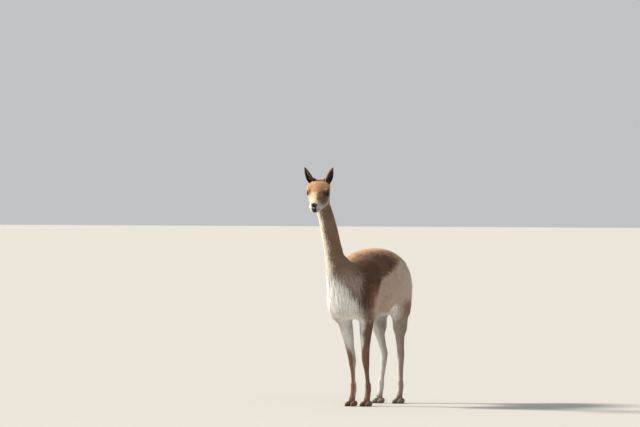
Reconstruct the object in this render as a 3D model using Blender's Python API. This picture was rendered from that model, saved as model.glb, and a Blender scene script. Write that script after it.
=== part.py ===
"""Vicuna, a life-size still model that stands on its four feet.

The animal faces -Y, its own left is +X and the floor is Z = 0, in metres. Every outline
includes the coat. The flesh is a blend of rounded limbs, each a smooth tube through a few
stations. It is turned into one closed surface, thinned, and parted by thin plane cuts.
The long hair of the chest, belly and tail is tapered locks with their roots sunk in.
"""

import math
import random

import bmesh
import bpy
import numpy as np
from mathutils import Matrix, Vector

# Driving sizes of the animal
GAP = 0.0003
HEAD_TURN = math.radians(15)
HEAD_TILT = math.radians(1)
HEAD_NOD = math.radians(11)
POLL = Vector((-0.0475, -0.593, 1.161))

# Heights of the cuts that part the legs
LEG_TOP = 0.470
KNEE_CUT = 0.215
HOCK_CUT = 0.235
FETLOCK_CUT = 0.105

# A station of a tube is x, y, z, half width across and half depth.
TRUNK = [
    (0.000, -0.334, 0.622, 0.093, 0.113),
    (0.000, -0.280, 0.642, 0.118, 0.144),
    (0.000, -0.180, 0.666, 0.141, 0.171),
    (0.000, -0.050, 0.684, 0.152, 0.182),
    (0.000, 0.080, 0.688, 0.150, 0.181),
    (0.000, 0.180, 0.680, 0.133, 0.163),
    (0.000, 0.250, 0.666, 0.110, 0.140),
    (0.000, 0.303, 0.660, 0.084, 0.099),
]
NECK = [
    (-0.008, -0.290, 0.670, 0.101, 0.120),
    (-0.018, -0.351, 0.714, 0.090, 0.105),
    (-0.025, -0.397, 0.762, 0.0735, 0.087),
    (-0.029, -0.438, 0.812, 0.0590, 0.067),
    (-0.030, -0.463, 0.865, 0.0515, 0.061),
    (-0.031, -0.488, 0.917, 0.0475, 0.057),
    (-0.032, -0.512, 0.972, 0.0450, 0.055),
    (-0.038, -0.544, 1.050, 0.042, 0.050),
    (-0.045, -0.568, 1.105, 0.041, 0.048),
    (-0.049, -0.593, 1.150, 0.041, 0.048),
]
# The limbs of the left side, which the right side mirrors
SHOULDER = [
    (0.058, -0.215, 0.750, 0.048, 0.058),
    (0.074, -0.250, 0.670, 0.056, 0.080),
    (0.078, -0.268, 0.595, 0.056, 0.080),
    (0.074, -0.246, 0.530, 0.050, 0.068),
]
FORELEG = [
    (0.072, -0.234, 0.520, 0.045, 0.058),
    (0.064, -0.223, 0.465, 0.040, 0.050),
    (0.055, -0.212, 0.400, 0.032, 0.040),
    (0.047, -0.197, 0.325, 0.024, 0.030),
    (0.041, -0.183, 0.265, 0.0215, 0.0240),
    (0.041, -0.178, 0.238, 0.0195, 0.0215),
    (0.042, -0.170, 0.195, 0.0132, 0.0160),
    (0.043, -0.160, 0.140, 0.0116, 0.0142),
    (0.0440, -0.153, 0.095, 0.0132, 0.0158),
    (0.0445, -0.162, 0.060, 0.0130, 0.0155),
]
THIGH = [
    (0.050, 0.172, 0.728, 0.054, 0.082),
    (0.068, 0.192, 0.668, 0.058, 0.100),
    (0.078, 0.203, 0.600, 0.055, 0.101),
    (0.079, 0.211, 0.530, 0.046, 0.085),
]
HAM = [
    (0.048, 0.296, 0.640, 0.044, 0.062),
    (0.054, 0.284, 0.562, 0.040, 0.058),
    (0.061, 0.262, 0.492, 0.031, 0.047),
    (0.063, 0.250, 0.430, 0.025, 0.036),
]
HIND_LEG = [
    (0.079, 0.210, 0.540, 0.045, 0.082),
    (0.070, 0.229, 0.460, 0.036, 0.057),
    (0.062, 0.250, 0.390, 0.027, 0.038),
    (0.055, 0.272, 0.325, 0.021, 0.028),
    (0.051, 0.288, 0.280, 0.019, 0.0275),
    (0.0515, 0.286, 0.245, 0.0175, 0.0230),
    (0.054, 0.278, 0.190, 0.0152, 0.0176),
    (0.057, 0.270, 0.140, 0.0134, 0.0160),
    (0.0595, 0.265, 0.097, 0.0138, 0.0164),
    (0.0605, 0.255, 0.060, 0.0134, 0.0160),
]
TAIL = [
    (0.000, 0.325, 0.745, 0.024, 0.022),
    (0.000, 0.364, 0.737, 0.024, 0.020),
    (0.000, 0.394, 0.702, 0.022, 0.018),
    (0.000, 0.405, 0.650, 0.019, 0.016),
    (0.000, 0.406, 0.598, 0.014, 0.012),
]
BIB = [
    (-0.008, -0.325, 0.622, 0.070, 0.080),
    (-0.006, -0.316, 0.570, 0.056, 0.054),
    (-0.004, -0.308, 0.537, 0.038, 0.032),
]
# The head in its own axes, with its origin at the poll: -Y is ahead and +Z is up.
SKULL = [
    (0.0, 0.001, 0.011, 0.048, 0.050),
    (0.0, -0.025, 0.031, 0.0565, 0.066),
    (0.0, -0.060, 0.029, 0.0590, 0.066),
    (0.0, -0.095, 0.012, 0.051, 0.053),
    (0.0, -0.130, -0.002, 0.0400, 0.0410),
    (0.0, -0.162, -0.009, 0.0335, 0.0330),
    (0.0, -0.188, -0.013, 0.0318, 0.0290),
    (0.0, -0.203, -0.015, 0.0286, 0.0255),
]
JAW = [
    (0.0, -0.045, -0.018, 0.046, 0.032),
    (0.0, -0.095, -0.026, 0.038, 0.028),
    (0.0, -0.150, -0.033, 0.026, 0.0185),
    (0.0, -0.190, -0.036, 0.0218, 0.0155),
    (0.0, -0.202, -0.036, 0.0196, 0.0140),
]
BROW = [
    (0.030, -0.066, 0.070, 0.020, 0.020),
    (0.047, -0.094, 0.060, 0.011, 0.009),
    (0.048, -0.108, 0.054, 0.008, 0.007),
]
EYE_CENTRE = Vector((0.0410, -0.0945, 0.0375))
EYE_RADIUS = 0.0175
EYE_GAZE = Vector((0.86, -0.50, 0.06)).normalized()
LID_THICKNESS = 0.0032
LID_OPENING = (0.0142, 0.0108)
NOSTRIL = Vector((0.0130, -0.2210, -0.0055))
NOSTRIL_RADII = (0.0026, 0.0070, 0.0056)
MOUTH = [
    (0.030, -0.158, -0.0290),
    (0.028, -0.172, -0.0285),
    (0.027, -0.188, -0.0272),
    (0.023, -0.204, -0.0258),
    (0.013, -0.219, -0.0248),
    (0.000, -0.226, -0.0242),
]
MOUTH_DEPTH, MOUTH_HALF_HEIGHT = 0.0050, 0.0013

EAR_ROOT = Vector((0.035, -0.024, 0.074))
# The left ear, at 1, stands steeper than the right.
EAR_TIPS = {1: Vector((0.0740, -0.038, 0.168)), -1: Vector((-0.0815, -0.038, 0.168))}
EAR_WALL = 0.0030
# A station of an ear is the share of its length, its half width and half the angle of its cup.
EAR_PROFILE = [
    (0.00, 0.0130, 150),
    (0.12, 0.0158, 135),
    (0.26, 0.0184, 112),
    (0.42, 0.0194, 95),
    (0.58, 0.0178, 85),
    (0.74, 0.0142, 77),
    (0.88, 0.0090, 69),
    (1.00, 0.0028, 61),
]
EAR_CELLS_ACROSS = 8
# A station of a nail runs ahead of its toe: reach, half width, lowest and highest height.
NAIL_PROFILE = [
    (0.044, 0.0068, 0.0050, 0.0190),
    (0.060, 0.0064, 0.0030, 0.0185),
    (0.072, 0.0048, 0.0016, 0.0130),
    (0.080, 0.0016, 0.0010, 0.0050),
]
# How far apart the toes stand, how much they part ahead and how far ahead the last part is.
TOE_SPREAD, TOE_FLARE, TOE_REACH = 0.0132, 0.0035, 0.058
# The toes' share of the leg's own distance from the middle
TOE_SPLAY = 1.02

# Long hair: how deep a root is sunk, and a lock's shape as (share of length, share of width).
SEED = 11
ROOT_DEPTH = 0.007
LOCK_SHAPE = [(0.00, 0.80), (0.25, 1.00), (0.54, 0.94), (0.80, 0.62)]
LOCK_FLATNESS = 0.26
# A row of the bib: height of its roots, number of locks, half width and length.
BIB_ROWS = [
    (0.690, 8, 0.0200, 0.120),
    (0.645, 9, 0.0200, 0.120),
    (0.602, 10, 0.0195, 0.110),
    (0.565, 9, 0.0185, 0.092),
    (0.534, 8, 0.0165, 0.068),
]
BIB_AXIS_Y, BIB_REACH = -0.250, 0.190
BIB_HALF_ANGLE = math.radians(70)
BIB_LIFT, FRINGE_LIFT, TAIL_LIFT = 0.002, 0.002, 0.012
FRINGE_ENDS = (-0.130, 0.110)
FRINGE_ROWS = [(0.132, 0.552, 6, 0.0190, 0.072), (0.096, 0.514, 6, 0.0180, 0.042)]
LOWEST_TIP = LEG_TOP + 0.0045
BEHIND_CHEST = -0.300
# A row of the tail: height of its roots, number of locks round it, half width and length.
TAIL_REACH = 0.022
TAIL_ROWS = [(0.706, 4, 0.0165, 0.100), (0.662, 4, 0.0165, 0.105), (0.620, 4, 0.0155, 0.095)]

# Cell sizes of the surface, and the triangles that each piece is thinned to
BODY_CELL, BODY_FACES = 0.0080, 4050
HEAD_CELL, HEAD_FACES = 0.0028, 1600
FOOT_CELL, FOOT_FACES = 0.0034, 280
TAIL_CELL, TAIL_FACES = 0.0050, 160
STATION_STEPS = 4
FAR = 1.0
NEARBY = 0.045


def mirrored(stations):
    return [(-x, y, z, wide, deep) for x, y, z, wide, deep in stations]


def smooth_stations(stations, steps=STATION_STEPS):
    """More stations on a smooth curve through the given ones."""
    rows = np.array(stations, float)
    padded = np.vstack([2 * rows[0] - rows[1], rows, 2 * rows[-1] - rows[-2]])
    found = []
    for a, b, c, d in zip(padded, padded[1:], padded[2:], padded[3:]):
        for t in np.linspace(0, 1, steps, endpoint=False):
            curve = 2 * b + (c - a) * t + (2 * a - 5 * b + 4 * c - d) * t**2
            found.append(0.5 * (curve + (3 * b - a - 3 * c + d) * t**3))
    return np.array([*found, rows[-1]])


def tube_distance(points, stations, power=2.0):
    """Distance to a tube whose cross sections are ellipses, or squarer where power is over 2.
    Points well clear of the tube get FAR instead."""
    rows = smooth_stations(stations)
    nearest = np.full(len(points), FAR)
    reach = rows[:, 3:].max() + NEARBY
    low, high = rows[:, :3].min(axis=0) - reach, rows[:, :3].max(axis=0) + reach
    close = np.flatnonzero(((points > low) & (points < high)).all(axis=1))
    for start, end in zip(rows, rows[1:]):
        along = end[:3] - start[:3]
        length = np.linalg.norm(along)
        along = along / length
        side = np.array([1.0, 0.0, 0.0]) - along[0] * along
        side /= np.linalg.norm(side)
        fore = np.cross(along, side)
        reach = max(start[3:].max(), end[3:].max()) + NEARBY
        low, high = np.minimum(start, end)[:3] - reach, np.maximum(start, end)[:3] + reach
        here = close[((points[close] > low) & (points[close] < high)).all(axis=1)]
        share = np.clip((points[here] - start[:3]) @ along / length, 0, 1)
        radii = start[3:] + share[:, None] * (end[3:] - start[3:])
        offset = points[here] - start[:3] - share[:, None] * (along * length)
        across = np.abs(offset @ side) / radii[:, 0]
        deep = np.abs(offset @ fore) / radii[:, 1]
        over = np.abs(offset @ along) / radii.min(axis=1)
        size = (across**power + deep**power + over**power) ** (1 / power) + 1e-9
        found = (np.linalg.norm(offset, axis=1) + 1e-9) * (1 - 1 / size)
        nearest[here] = np.minimum(nearest[here], found)
    return nearest


def blended(first, second, width):
    """The smaller of two distances, rounded over width where they meet."""
    share = np.clip(1 - np.abs(first - second) / width, 0, 1)
    return np.minimum(first, second) - share**2 * width / 4


def body_field(points):
    """Distance to the neck, trunk and legs down to the fetlocks."""
    field = tube_distance(points, TRUNK, 2.3)
    field = blended(field, tube_distance(points, NECK), 0.046)
    field = blended(field, tube_distance(points, BIB), 0.05)
    for side in (list, mirrored):
        field = blended(field, tube_distance(points, side(SHOULDER)), 0.05)
        field = blended(field, tube_distance(points, side(THIGH)), 0.06)
        field = blended(field, tube_distance(points, side(HAM)), 0.04)
        field = blended(field, tube_distance(points, side(FORELEG)), 0.035)
        field = blended(field, tube_distance(points, side(HIND_LEG)), 0.035)
    return field


def head_matrix():
    turn = Matrix.Rotation(HEAD_TURN, 4, "Z") @ Matrix.Rotation(HEAD_TILT, 4, "Y")
    return Matrix.Translation(POLL) @ turn @ Matrix.Rotation(HEAD_NOD, 4, "X")


def skull_field(points):
    """Distance to the head without the neck, at points in the head's own axes."""
    field = tube_distance(points, SKULL, 2.2)
    field = blended(field, tube_distance(points, JAW), 0.018)
    for side, sign in ((list, 1), (mirrored, -1)):
        field = blended(field, tube_distance(points, side(BROW)), 0.016)
        eye = np.array([sign * EYE_CENTRE.x, EYE_CENTRE.y, EYE_CENTRE.z])
        lids = np.linalg.norm(points - eye, axis=1) - EYE_RADIUS - LID_THICKNESS
        field = blended(field, lids, 0.010)
    return field


def head_field(points):
    """Distance to the head and the top of the neck, at points in the room's axes."""
    inverse = np.array(head_matrix().inverted())
    field = skull_field(points @ inverse[:3, :3].T + inverse[:3, 3])
    return blended(field, tube_distance(points, NECK), 0.030)


def on_surface(field_at, points, steps=6):
    """The points moved onto the surface where the field is zero, and its outward directions."""
    places, step = np.array(points, float), 0.0005
    for _ in range(steps):
        slopes = []
        for axis in np.eye(3) * step:
            slopes.append((field_at(places + axis) - field_at(places - axis)) / (2 * step))
        slope = np.stack(slopes, axis=1)
        length = np.linalg.norm(slope, axis=1, keepdims=True) + 1e-9
        places = places - field_at(places)[:, None] * slope / length**2
    return places, slope / length


def surface_of(field_at, low, high, cell):
    """Vertices and quads where the field is zero: one vertex in each cell that it crosses."""
    counts = [int(math.ceil((b - a) / cell)) + 1 for a, b in zip(low, high)]
    axes = [a + cell * np.arange(n) for a, n in zip(low, counts)]
    grid = np.stack(np.meshgrid(*axes, indexing="ij"), axis=-1)
    field = field_at(grid.reshape(-1, 3)).reshape(counts)
    cells = tuple(n - 1 for n in counts)
    total, crossings = np.zeros((*cells, 3)), np.zeros(cells)
    corners = [(i, j, k) for i in (0, 1) for j in (0, 1) for k in (0, 1)]

    def at(corner):
        return field[tuple(slice(c, c + n) for c, n in zip(corner, cells))]

    for first in corners:
        for axis in range(3):
            if first[axis]:
                continue
            second = tuple(c + (n == axis) for n, c in enumerate(first))
            a, b = at(first), at(second)
            crossed = (a < 0) != (b < 0)
            share = np.where(crossed, a / np.where(crossed, a - b, 1), 0)
            for n in range(3):
                total[..., n] += np.where(crossed, first[n] + share * (n == axis), 0)
            crossings += crossed
    used = crossings > 0
    index = np.full(cells, -1)
    index[used] = np.arange(used.sum())
    places = total[used] / crossings[used][:, None] + np.argwhere(used)
    vertices = np.array(low) + cell * places
    quads = []
    for axis in range(3):
        u, v = (axis + 1) % 3, (axis + 2) % 3
        ahead = np.moveaxis(field, (axis, u, v), (0, 1, 2))
        place = np.moveaxis(index, (axis, u, v), (0, 1, 2))
        inside, outside = ahead[:-1, 1:-1, 1:-1] < 0, ahead[1:, 1:-1, 1:-1] < 0
        ring = [place[:, :-1, :-1], place[:, 1:, :-1], place[:, 1:, 1:], place[:, :-1, 1:]]
        for wanted, turned in ((inside & ~outside, 1), (~inside & outside, -1)):
            quads.append(np.stack([r[wanted] for r in ring[::turned]], axis=1))
    return vertices, np.concatenate(quads)


def add_object(name, mesh, material=None):
    made = bpy.data.objects.new(name, mesh)
    bpy.context.scene.collection.objects.link(made)
    if material:
        mesh.materials.clear()
        mesh.materials.append(material)
    return made


def mesh_from(name, vertices, faces):
    mesh = bpy.data.meshes.new(name)
    mesh.from_pydata([tuple(v) for v in vertices], [], [tuple(f) for f in faces])
    mesh.update()
    return mesh


def evaluated_mesh(made, name):
    """The object's mesh with its modifiers applied. The object itself is removed."""
    graph = bpy.context.evaluated_depsgraph_get()
    mesh = bpy.data.meshes.new_from_object(made.evaluated_get(graph))
    mesh.name = name
    bpy.data.objects.remove(made)
    return mesh


def thinned_surface(name, field_at, low, high, cell, faces):
    """One closed surface of about the given number of triangles, finest where it bends most."""
    vertices, quads = surface_of(field_at, low, high, cell)
    made = add_object(name, mesh_from(name, vertices, quads))
    thin = made.modifiers.new("thin", "DECIMATE")
    thin.ratio = faces / (2 * len(quads))
    thin.use_collapse_triangulate = True
    return evaluated_mesh(made, name)


def cut_piece(mesh, name, planes, near=None):
    """A copy of the mesh on the inner side of every plane, given as a point and a normal out of
    the piece. Where that leaves several bodies, the one nearest to the point near is kept."""
    piece = bmesh.new()
    piece.from_mesh(mesh)
    for point, normal in planes:
        geometry = [*piece.verts, *piece.edges, *piece.faces]
        bmesh.ops.bisect_plane(
            piece,
            geom=geometry,
            dist=1e-6,
            plane_co=point,
            plane_no=normal,
            clear_outer=True,
        )
        edges = [e for e in piece.edges if e.is_boundary]
        bmesh.ops.holes_fill(piece, edges=edges)
    bmesh.ops.triangulate(piece, faces=piece.faces)
    keep_one_body(piece, near)
    bmesh.ops.recalc_face_normals(piece, faces=piece.faces)
    found = bpy.data.meshes.new(name)
    piece.to_mesh(found)
    piece.free()
    return found


def keep_one_body(piece, near):
    """Deletes all but one of the mesh's bodies: the largest, or the one with a vertex nearest."""
    bodies, seen = [], set()
    for start in piece.verts:
        if start in seen:
            continue
        body, waiting = [], [start]
        seen.add(start)
        while waiting:
            vertex = waiting.pop()
            body.append(vertex)
            for edge in vertex.link_edges:
                other = edge.other_vert(vertex)
                if other not in seen:
                    seen.add(other)
                    waiting.append(other)
        bodies.append(body)
    if near is None:
        bodies.sort(key=len)
    else:
        bodies.sort(key=lambda body: -min((v.co - near).length for v in body))
    for body in bodies[:-1]:
        bmesh.ops.delete(piece, geom=body, context="VERTS")


def material_of(name, colour, roughness):
    made = bpy.data.materials.new(name)
    made.use_nodes = True
    shader = made.node_tree.nodes["Principled BSDF"]
    shader.inputs["Base Color"].default_value = (*colour, 1)
    shader.inputs["Roughness"].default_value = roughness
    shader.inputs["Metallic"].default_value = 0.0
    made.diffuse_color = (*colour, 1)
    return made


def apply_boolean(made, others, operation):
    """Applies one Boolean with a collection of other objects, which are then removed. Only the
    largest closed surface of the result is kept."""
    group = bpy.data.collections.new("pieces")
    for other in others:
        bpy.context.scene.collection.objects.unlink(other)
        group.objects.link(other)
    change = made.modifiers.new(operation.lower(), "BOOLEAN")
    change.operation = operation
    change.operand_type = "COLLECTION"
    change.collection = group
    change.solver = "EXACT"
    name, materials = made.name, list(made.data.materials)
    mesh = evaluated_mesh(made, name)
    for other in others:
        bpy.data.objects.remove(other)
    bpy.data.collections.remove(group)
    piece = bmesh.new()
    piece.from_mesh(mesh)
    keep_one_body(piece, None)
    bmesh.ops.triangulate(piece, faces=piece.faces)
    piece.to_mesh(mesh)
    piece.free()
    mesh.materials.clear()
    for material in materials:
        mesh.materials.append(material)
    return add_object(name, mesh)


def inflated(made):
    """A helper as large as the object and GAP more all round, for cutting what grows from it."""
    mesh = made.data.copy()
    moves = [v.normal * GAP for v in mesh.vertices]
    for vertex, move in zip(mesh.vertices, moves):
        vertex.co += move
    return add_object("grown", mesh)


def loft(name, rings):
    """A closed body through rings of as many points each, with flat ends."""
    count = len(rings[0])
    vertices = [point for ring in rings for point in ring]
    faces = []
    for n in range(len(rings) - 1):
        for k in range(count):
            a, b = n * count + k, n * count + (k + 1) % count
            faces.append((a, b, b + count, a + count))
    last = (len(rings) - 1) * count
    faces.append(tuple(range(count))[::-1])
    faces.append(tuple(last + k for k in range(count)))
    mesh = mesh_from(name, vertices, faces)
    piece = bmesh.new()
    piece.from_mesh(mesh)
    bmesh.ops.triangulate(piece, faces=piece.faces)
    bmesh.ops.recalc_face_normals(piece, faces=piece.faces)
    piece.to_mesh(mesh)
    piece.free()
    return mesh


def ball(name, matrix, radii, segments=16, rings=10):
    """A rounded body about the matrix's own origin."""
    piece = bmesh.new()
    sizes = matrix @ Matrix.Diagonal((*radii, 1))
    bmesh.ops.create_uvsphere(
        piece, u_segments=segments, v_segments=rings, radius=1, matrix=sizes
    )
    bmesh.ops.triangulate(piece, faces=piece.faces)
    bmesh.ops.recalc_face_normals(piece, faces=piece.faces)
    mesh = bpy.data.meshes.new(name)
    piece.to_mesh(mesh)
    piece.free()
    return mesh


def axes_along(direction, up):
    """A turn whose Z axis is the direction and whose Y axis lies towards up."""
    across = up.cross(direction).normalized()
    rise = direction.cross(across)
    return Matrix((across, rise, direction)).transposed()


def foot_field(foot):
    """The field of one foot: the pastern and two padded toes with a cleft between them."""
    x, y, z = foot

    def field_at(points):
        pastern = [
            (x, y - 0.004, z + 0.025, 0.0124, 0.0150),
            (x, y, z, 0.0134, 0.0160),
            (x * 1.01, y - 0.010, z - 0.032, 0.0138, 0.0162),
            (x * TOE_SPLAY, y - 0.020, z - 0.058, 0.0185, 0.0190),
        ]
        field = tube_distance(points, pastern)
        for side in (-1, 1):
            centre = x * TOE_SPLAY + side * TOE_SPREAD
            spread = side * TOE_FLARE
            toe = [
                (centre, y - 0.004, 0.0150, 0.0125, 0.0155),
                (centre + spread * 0.5, y - 0.032, 0.0140, 0.0130, 0.0165),
                (centre + spread, y - TOE_REACH, 0.0100, 0.0112, 0.0125),
            ]
            field = blended(field, tube_distance(points, toe), 0.010)
        return field

    return field_at


def build_body(coat):
    """The neck, the torso and the legs down to the fetlocks, parted from one surface."""
    low, high = (-0.22, -0.68, 0.02), (0.22, 0.44, 1.24)
    whole = thinned_surface("whole", body_field, low, high, BODY_CELL, BODY_FACES)
    throat = Vector(NECK[8][:3])
    neck_axis = (throat - Vector(NECK[7][:3])).normalized()
    base = Vector(NECK[2][:3])
    base_axis = (Vector(NECK[3][:3]) - Vector(NECK[1][:3])).normalized()
    below, above = Vector((0, 0, -1)), Vector((0, 0, 1))
    lift = Vector((0, 0, GAP))
    pieces = {
        "neck": (
            [(throat, neck_axis), (base + base_axis * GAP, -base_axis)],
            Vector(NECK[5][:3]),
        ),
        "torso": (
            [(base, base_axis), (Vector((0, 0, LEG_TOP)), below)],
            Vector((0, 0, 0.87)),
        ),
    }
    for side, sign in (("left", 1), ("right", -1)):
        for limb, stations, middle in (("fore", FORELEG, KNEE_CUT), ("hind", HIND_LEG, HOCK_CUT)):
            top, joint, foot = (Vector((0, 0, h)) for h in (LEG_TOP, middle, FETLOCK_CUT))
            upper, lower = Vector(stations[2][:3]), Vector(stations[7][:3])
            upper.x *= sign
            lower.x *= sign
            pieces[f"{limb}leg_{side}_upper"] = ([(top - lift, above), (joint, below)], upper)
            pieces[f"{limb}leg_{side}_lower"] = ([(joint - lift, above), (foot, below)], lower)
    made = {}
    for name, (planes, near) in pieces.items():
        made[name] = add_object(name, cut_piece(whole, name, planes, near), coat)
    bpy.data.meshes.remove(whole)
    return made


def build_feet(coat, horn):
    """Four feet with two nails each, which stand on small flats at Z = 0."""
    floor = (Vector((0, 0, 0)), Vector((0, 0, -1)))
    top = (Vector((0, 0, FETLOCK_CUT - GAP)), Vector((0, 0, 1)))
    for side, sign in (("left", 1), ("right", -1)):
        for limb, stations in (("fore", FORELEG), ("hind", HIND_LEG)):
            x, y, z = stations[8][:3]
            name = f"{limb}foot_{side}"
            low = (sign * x - 0.045, y - 0.10, -0.02)
            high = (sign * x + 0.045, y + 0.04, z + 0.05)
            field_at = foot_field((sign * x, y, z))
            mesh = thinned_surface(name, field_at, low, high, FOOT_CELL, FOOT_FACES)
            foot = add_object(name, cut_piece(mesh, name, [floor, top]), coat)
            bpy.data.meshes.remove(mesh)
            for toe, offset in (("outer", sign), ("inner", -sign)):
                centre = sign * x * TOE_SPLAY + offset * TOE_SPREAD
                nail = nail_mesh(f"nail_{limb}_{side}_{toe}", centre, offset, y)
                apply_boolean(add_object(nail.name, nail, horn), [inflated(foot)], "DIFFERENCE")


def nail_mesh(name, centre, offset, y):
    rings = []
    for reach, half, low, high in NAIL_PROFILE:
        middle, tall = (low + high) / 2, (high - low) / 2
        ring = []
        for k in range(8):
            turn = math.tau * (k + 0.5) / 8
            drift = centre + offset * TOE_FLARE * reach / TOE_REACH
            ring.append((drift + half * math.cos(turn), y - reach, middle + tall * math.sin(turn)))
        rings.append(ring)
    return loft(name, rings)


def eye_frame(sign):
    """The turn and place of an eye in the room: its Z axis is the gaze, its Y axis is up."""
    gaze = Vector((sign * EYE_GAZE.x, EYE_GAZE.y, EYE_GAZE.z))
    centre = Vector((sign * EYE_CENTRE.x, EYE_CENTRE.y, EYE_CENTRE.z))
    turn = axes_along(gaze, Vector((0, -0.25, 1)))
    return head_matrix() @ Matrix.Translation(centre) @ turn.to_4x4()


def lid_opening(sign):
    """The almond between the lids, as a cutter that widens away from the middle of the eye."""
    frame = eye_frame(sign)
    rings = []
    for share in (0.55, 1.9):
        ring = []
        for k in range(16):
            turn = math.tau * k / 16
            wide = LID_OPENING[0] * math.cos(turn)
            tall = LID_OPENING[1] * math.sin(turn) * abs(math.sin(turn)) ** 0.25
            ring.append(frame @ Vector((wide * share, tall * share, EYE_RADIUS * share)))
        rings.append(ring)
    return loft("opening", rings)


def mouth_cutter():
    """A thin wedge along the line of the mouth, from one corner round the front to the other."""
    line = [Vector(place) for place in MOUTH]
    line += [Vector((-x, y, z)) for x, y, z in MOUTH[-2::-1]]
    places, outward = on_surface(skull_field, [tuple(place) for place in line])
    rings = []
    for place, out in zip(places, outward):
        place, out = Vector(place), Vector(out)
        out = Vector((out.x, out.y, 0)).normalized()
        rise = Vector((0, 0, MOUTH_HALF_HEIGHT * 2.2))
        edge = place + out * 0.004
        ring = (place - out * MOUTH_DEPTH, edge - rise, edge + rise)
        rings.append([head_matrix() @ point for point in ring])
    return loft("mouth", rings)


def build_head(coat, glass):
    """The head with its eyes, the lids round them, the nostrils and the line of the mouth."""
    low, high = (-0.130, -0.835, 1.025), (0.090, -0.495, 1.285)
    throat = Vector(NECK[8][:3])
    neck_axis = (throat - Vector(NECK[7][:3])).normalized()
    mesh = thinned_surface("head", head_field, low, high, HEAD_CELL, HEAD_FACES)
    cut = cut_piece(mesh, "head", [(throat + neck_axis * GAP, -neck_axis)])
    bpy.data.meshes.remove(mesh)
    head = add_object("head", cut, coat)
    cutters = [mouth_cutter()]
    for side, sign in (("left", 1), ("right", -1)):
        frame = eye_frame(sign)
        add_object(f"eye_{side}", ball(f"eye_{side}", frame, [EYE_RADIUS] * 3), glass)
        cutters.append(ball("socket", frame, [EYE_RADIUS + GAP] * 3))
        cutters.append(lid_opening(sign))
        place = Vector((sign * NOSTRIL.x, NOSTRIL.y, NOSTRIL.z))
        slant = Matrix.Rotation(sign * math.radians(25), 4, "Y")
        turn = head_matrix() @ Matrix.Translation(place) @ slant
        cutters.append(ball("nostril", turn, NOSTRIL_RADII, 10, 6))
    helpers = [add_object(cutter.name, cutter) for cutter in cutters]
    return apply_boolean(head, helpers, "DIFFERENCE")


def ear_mesh(name, sign):
    """A cup of even thickness, open ahead and outwards, that narrows to a point."""
    root, tip = Vector((sign * EAR_ROOT.x, EAR_ROOT.y, EAR_ROOT.z)), EAR_TIPS[sign]
    axis = (tip - root).normalized()
    open_way = Vector((sign * 0.45, -0.9, 0))
    open_way = (open_way - axis * open_way.dot(axis)).normalized()
    side = axis.cross(open_way)
    rings = []
    for share, half, angle in EAR_PROFILE:
        turn = math.radians(angle)
        radius = half / math.sin(min(turn, math.pi / 2))
        back = math.sin(math.pi * share) * 0.010
        centre = root + (tip - root) * share + open_way * back
        wall = EAR_WALL * (1 - 0.6 * share)
        outer, inner = [], []
        for k in range(EAR_CELLS_ACROSS + 1):
            around = turn * (2 * k / EAR_CELLS_ACROSS - 1)
            way = side * math.sin(around) - open_way * math.cos(around)
            thin = wall * (0.35 + 0.65 * math.cos(math.pi / 2 * around / turn) ** 0.5)
            outer.append(centre + way * radius)
            inner.append(centre + way * max(radius - thin, radius * 0.45))
        rings.append([head_matrix() @ point for point in [*outer, *inner[::-1]]])
    return loft(name, rings)


def build_ears(coat, head):
    for side, sign in (("left", 1), ("right", -1)):
        ear = add_object(f"ear_{side}", ear_mesh(f"ear_{side}", sign), coat)
        apply_boolean(ear, [inflated(head)], "DIFFERENCE")


def tail_field(points):
    return tube_distance(points, TAIL)


def lock_meshes(name, field_at, roots, drops, lift, chance, lowest=None):
    """Flat tapered locks. Each starts under the surface at its root, follows the surface down
    and then hangs free. A root's drop is the lock's half width and its length."""
    count = len(roots)
    places, outward = on_surface(field_at, roots)
    places, outward = list(map(Vector, places)), list(map(Vector, outward))
    leans = [chance.uniform(-0.14, 0.14) for _ in range(count)]
    lengths = [length * chance.uniform(0.86, 1.08) for _, length in drops]
    shares = [share for share, _ in LOCK_SHAPE] + [1.0]
    paths = [[place - out * ROOT_DEPTH] for place, out in zip(places, outward)]
    ways = [[out] for out in outward]
    for before, share in zip(shares, shares[1:]):
        ahead = []
        for n in range(count):
            fall = Vector((leans[n], 0, -1)).normalized()
            along = fall - outward[n] * fall.dot(outward[n])
            free = max(share - 0.35, 0)
            step = (along.normalized() * (1 - free) + fall * free).normalized()
            ahead.append(places[n] + step * lengths[n] * (share - before))
        landed, turned = on_surface(field_at, ahead)
        for n in range(count):
            if share <= 0.5:
                places[n], outward[n] = Vector(landed[n]), Vector(turned[n])
            else:
                places[n] = ahead[n]
            rise = -ROOT_DEPTH + (ROOT_DEPTH + lift) * share
            paths[n].append(places[n] + outward[n] * rise)
            ways[n].append(outward[n].copy())
    if lowest is not None:
        keep_above(paths, lowest)
    found = []
    for path, out, (half, _) in zip(paths, ways, drops):
        found.append(one_lock(name, path, out, half))
    return found


def keep_above(paths, lowest):
    """Shortens each lock that would hang below the given height, except in front of the legs."""
    for path in paths:
        tip = path[-1]
        if tip.z >= lowest or tip.y < BEHIND_CHEST:
            continue
        top = path[0].z
        scale = (top - lowest) / (top - tip.z)
        for n, point in enumerate(path):
            path[n] = Vector((point.x, point.y, top + (point.z - top) * scale))


def one_lock(name, path, ways, half):
    rings = []
    for n, (_, share) in enumerate(LOCK_SHAPE):
        along = (path[n + 1] - path[max(n - 1, 0)]).normalized()
        side = along.cross(ways[n]).normalized()
        thick = side.cross(along).normalized()
        wide, deep = side * half * share, thick * half * share * LOCK_FLATNESS
        rings.append([path[n] + wide, path[n] + deep, path[n] - wide, path[n] - deep])
    tip = path[-1]
    side = (rings[-1][0] - rings[-1][2]) * 0.04
    thick = (rings[-1][1] - rings[-1][3]) * 0.10
    rings.append([tip + side, tip + thick, tip - side, tip - thick])
    return loft(name, rings)


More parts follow.
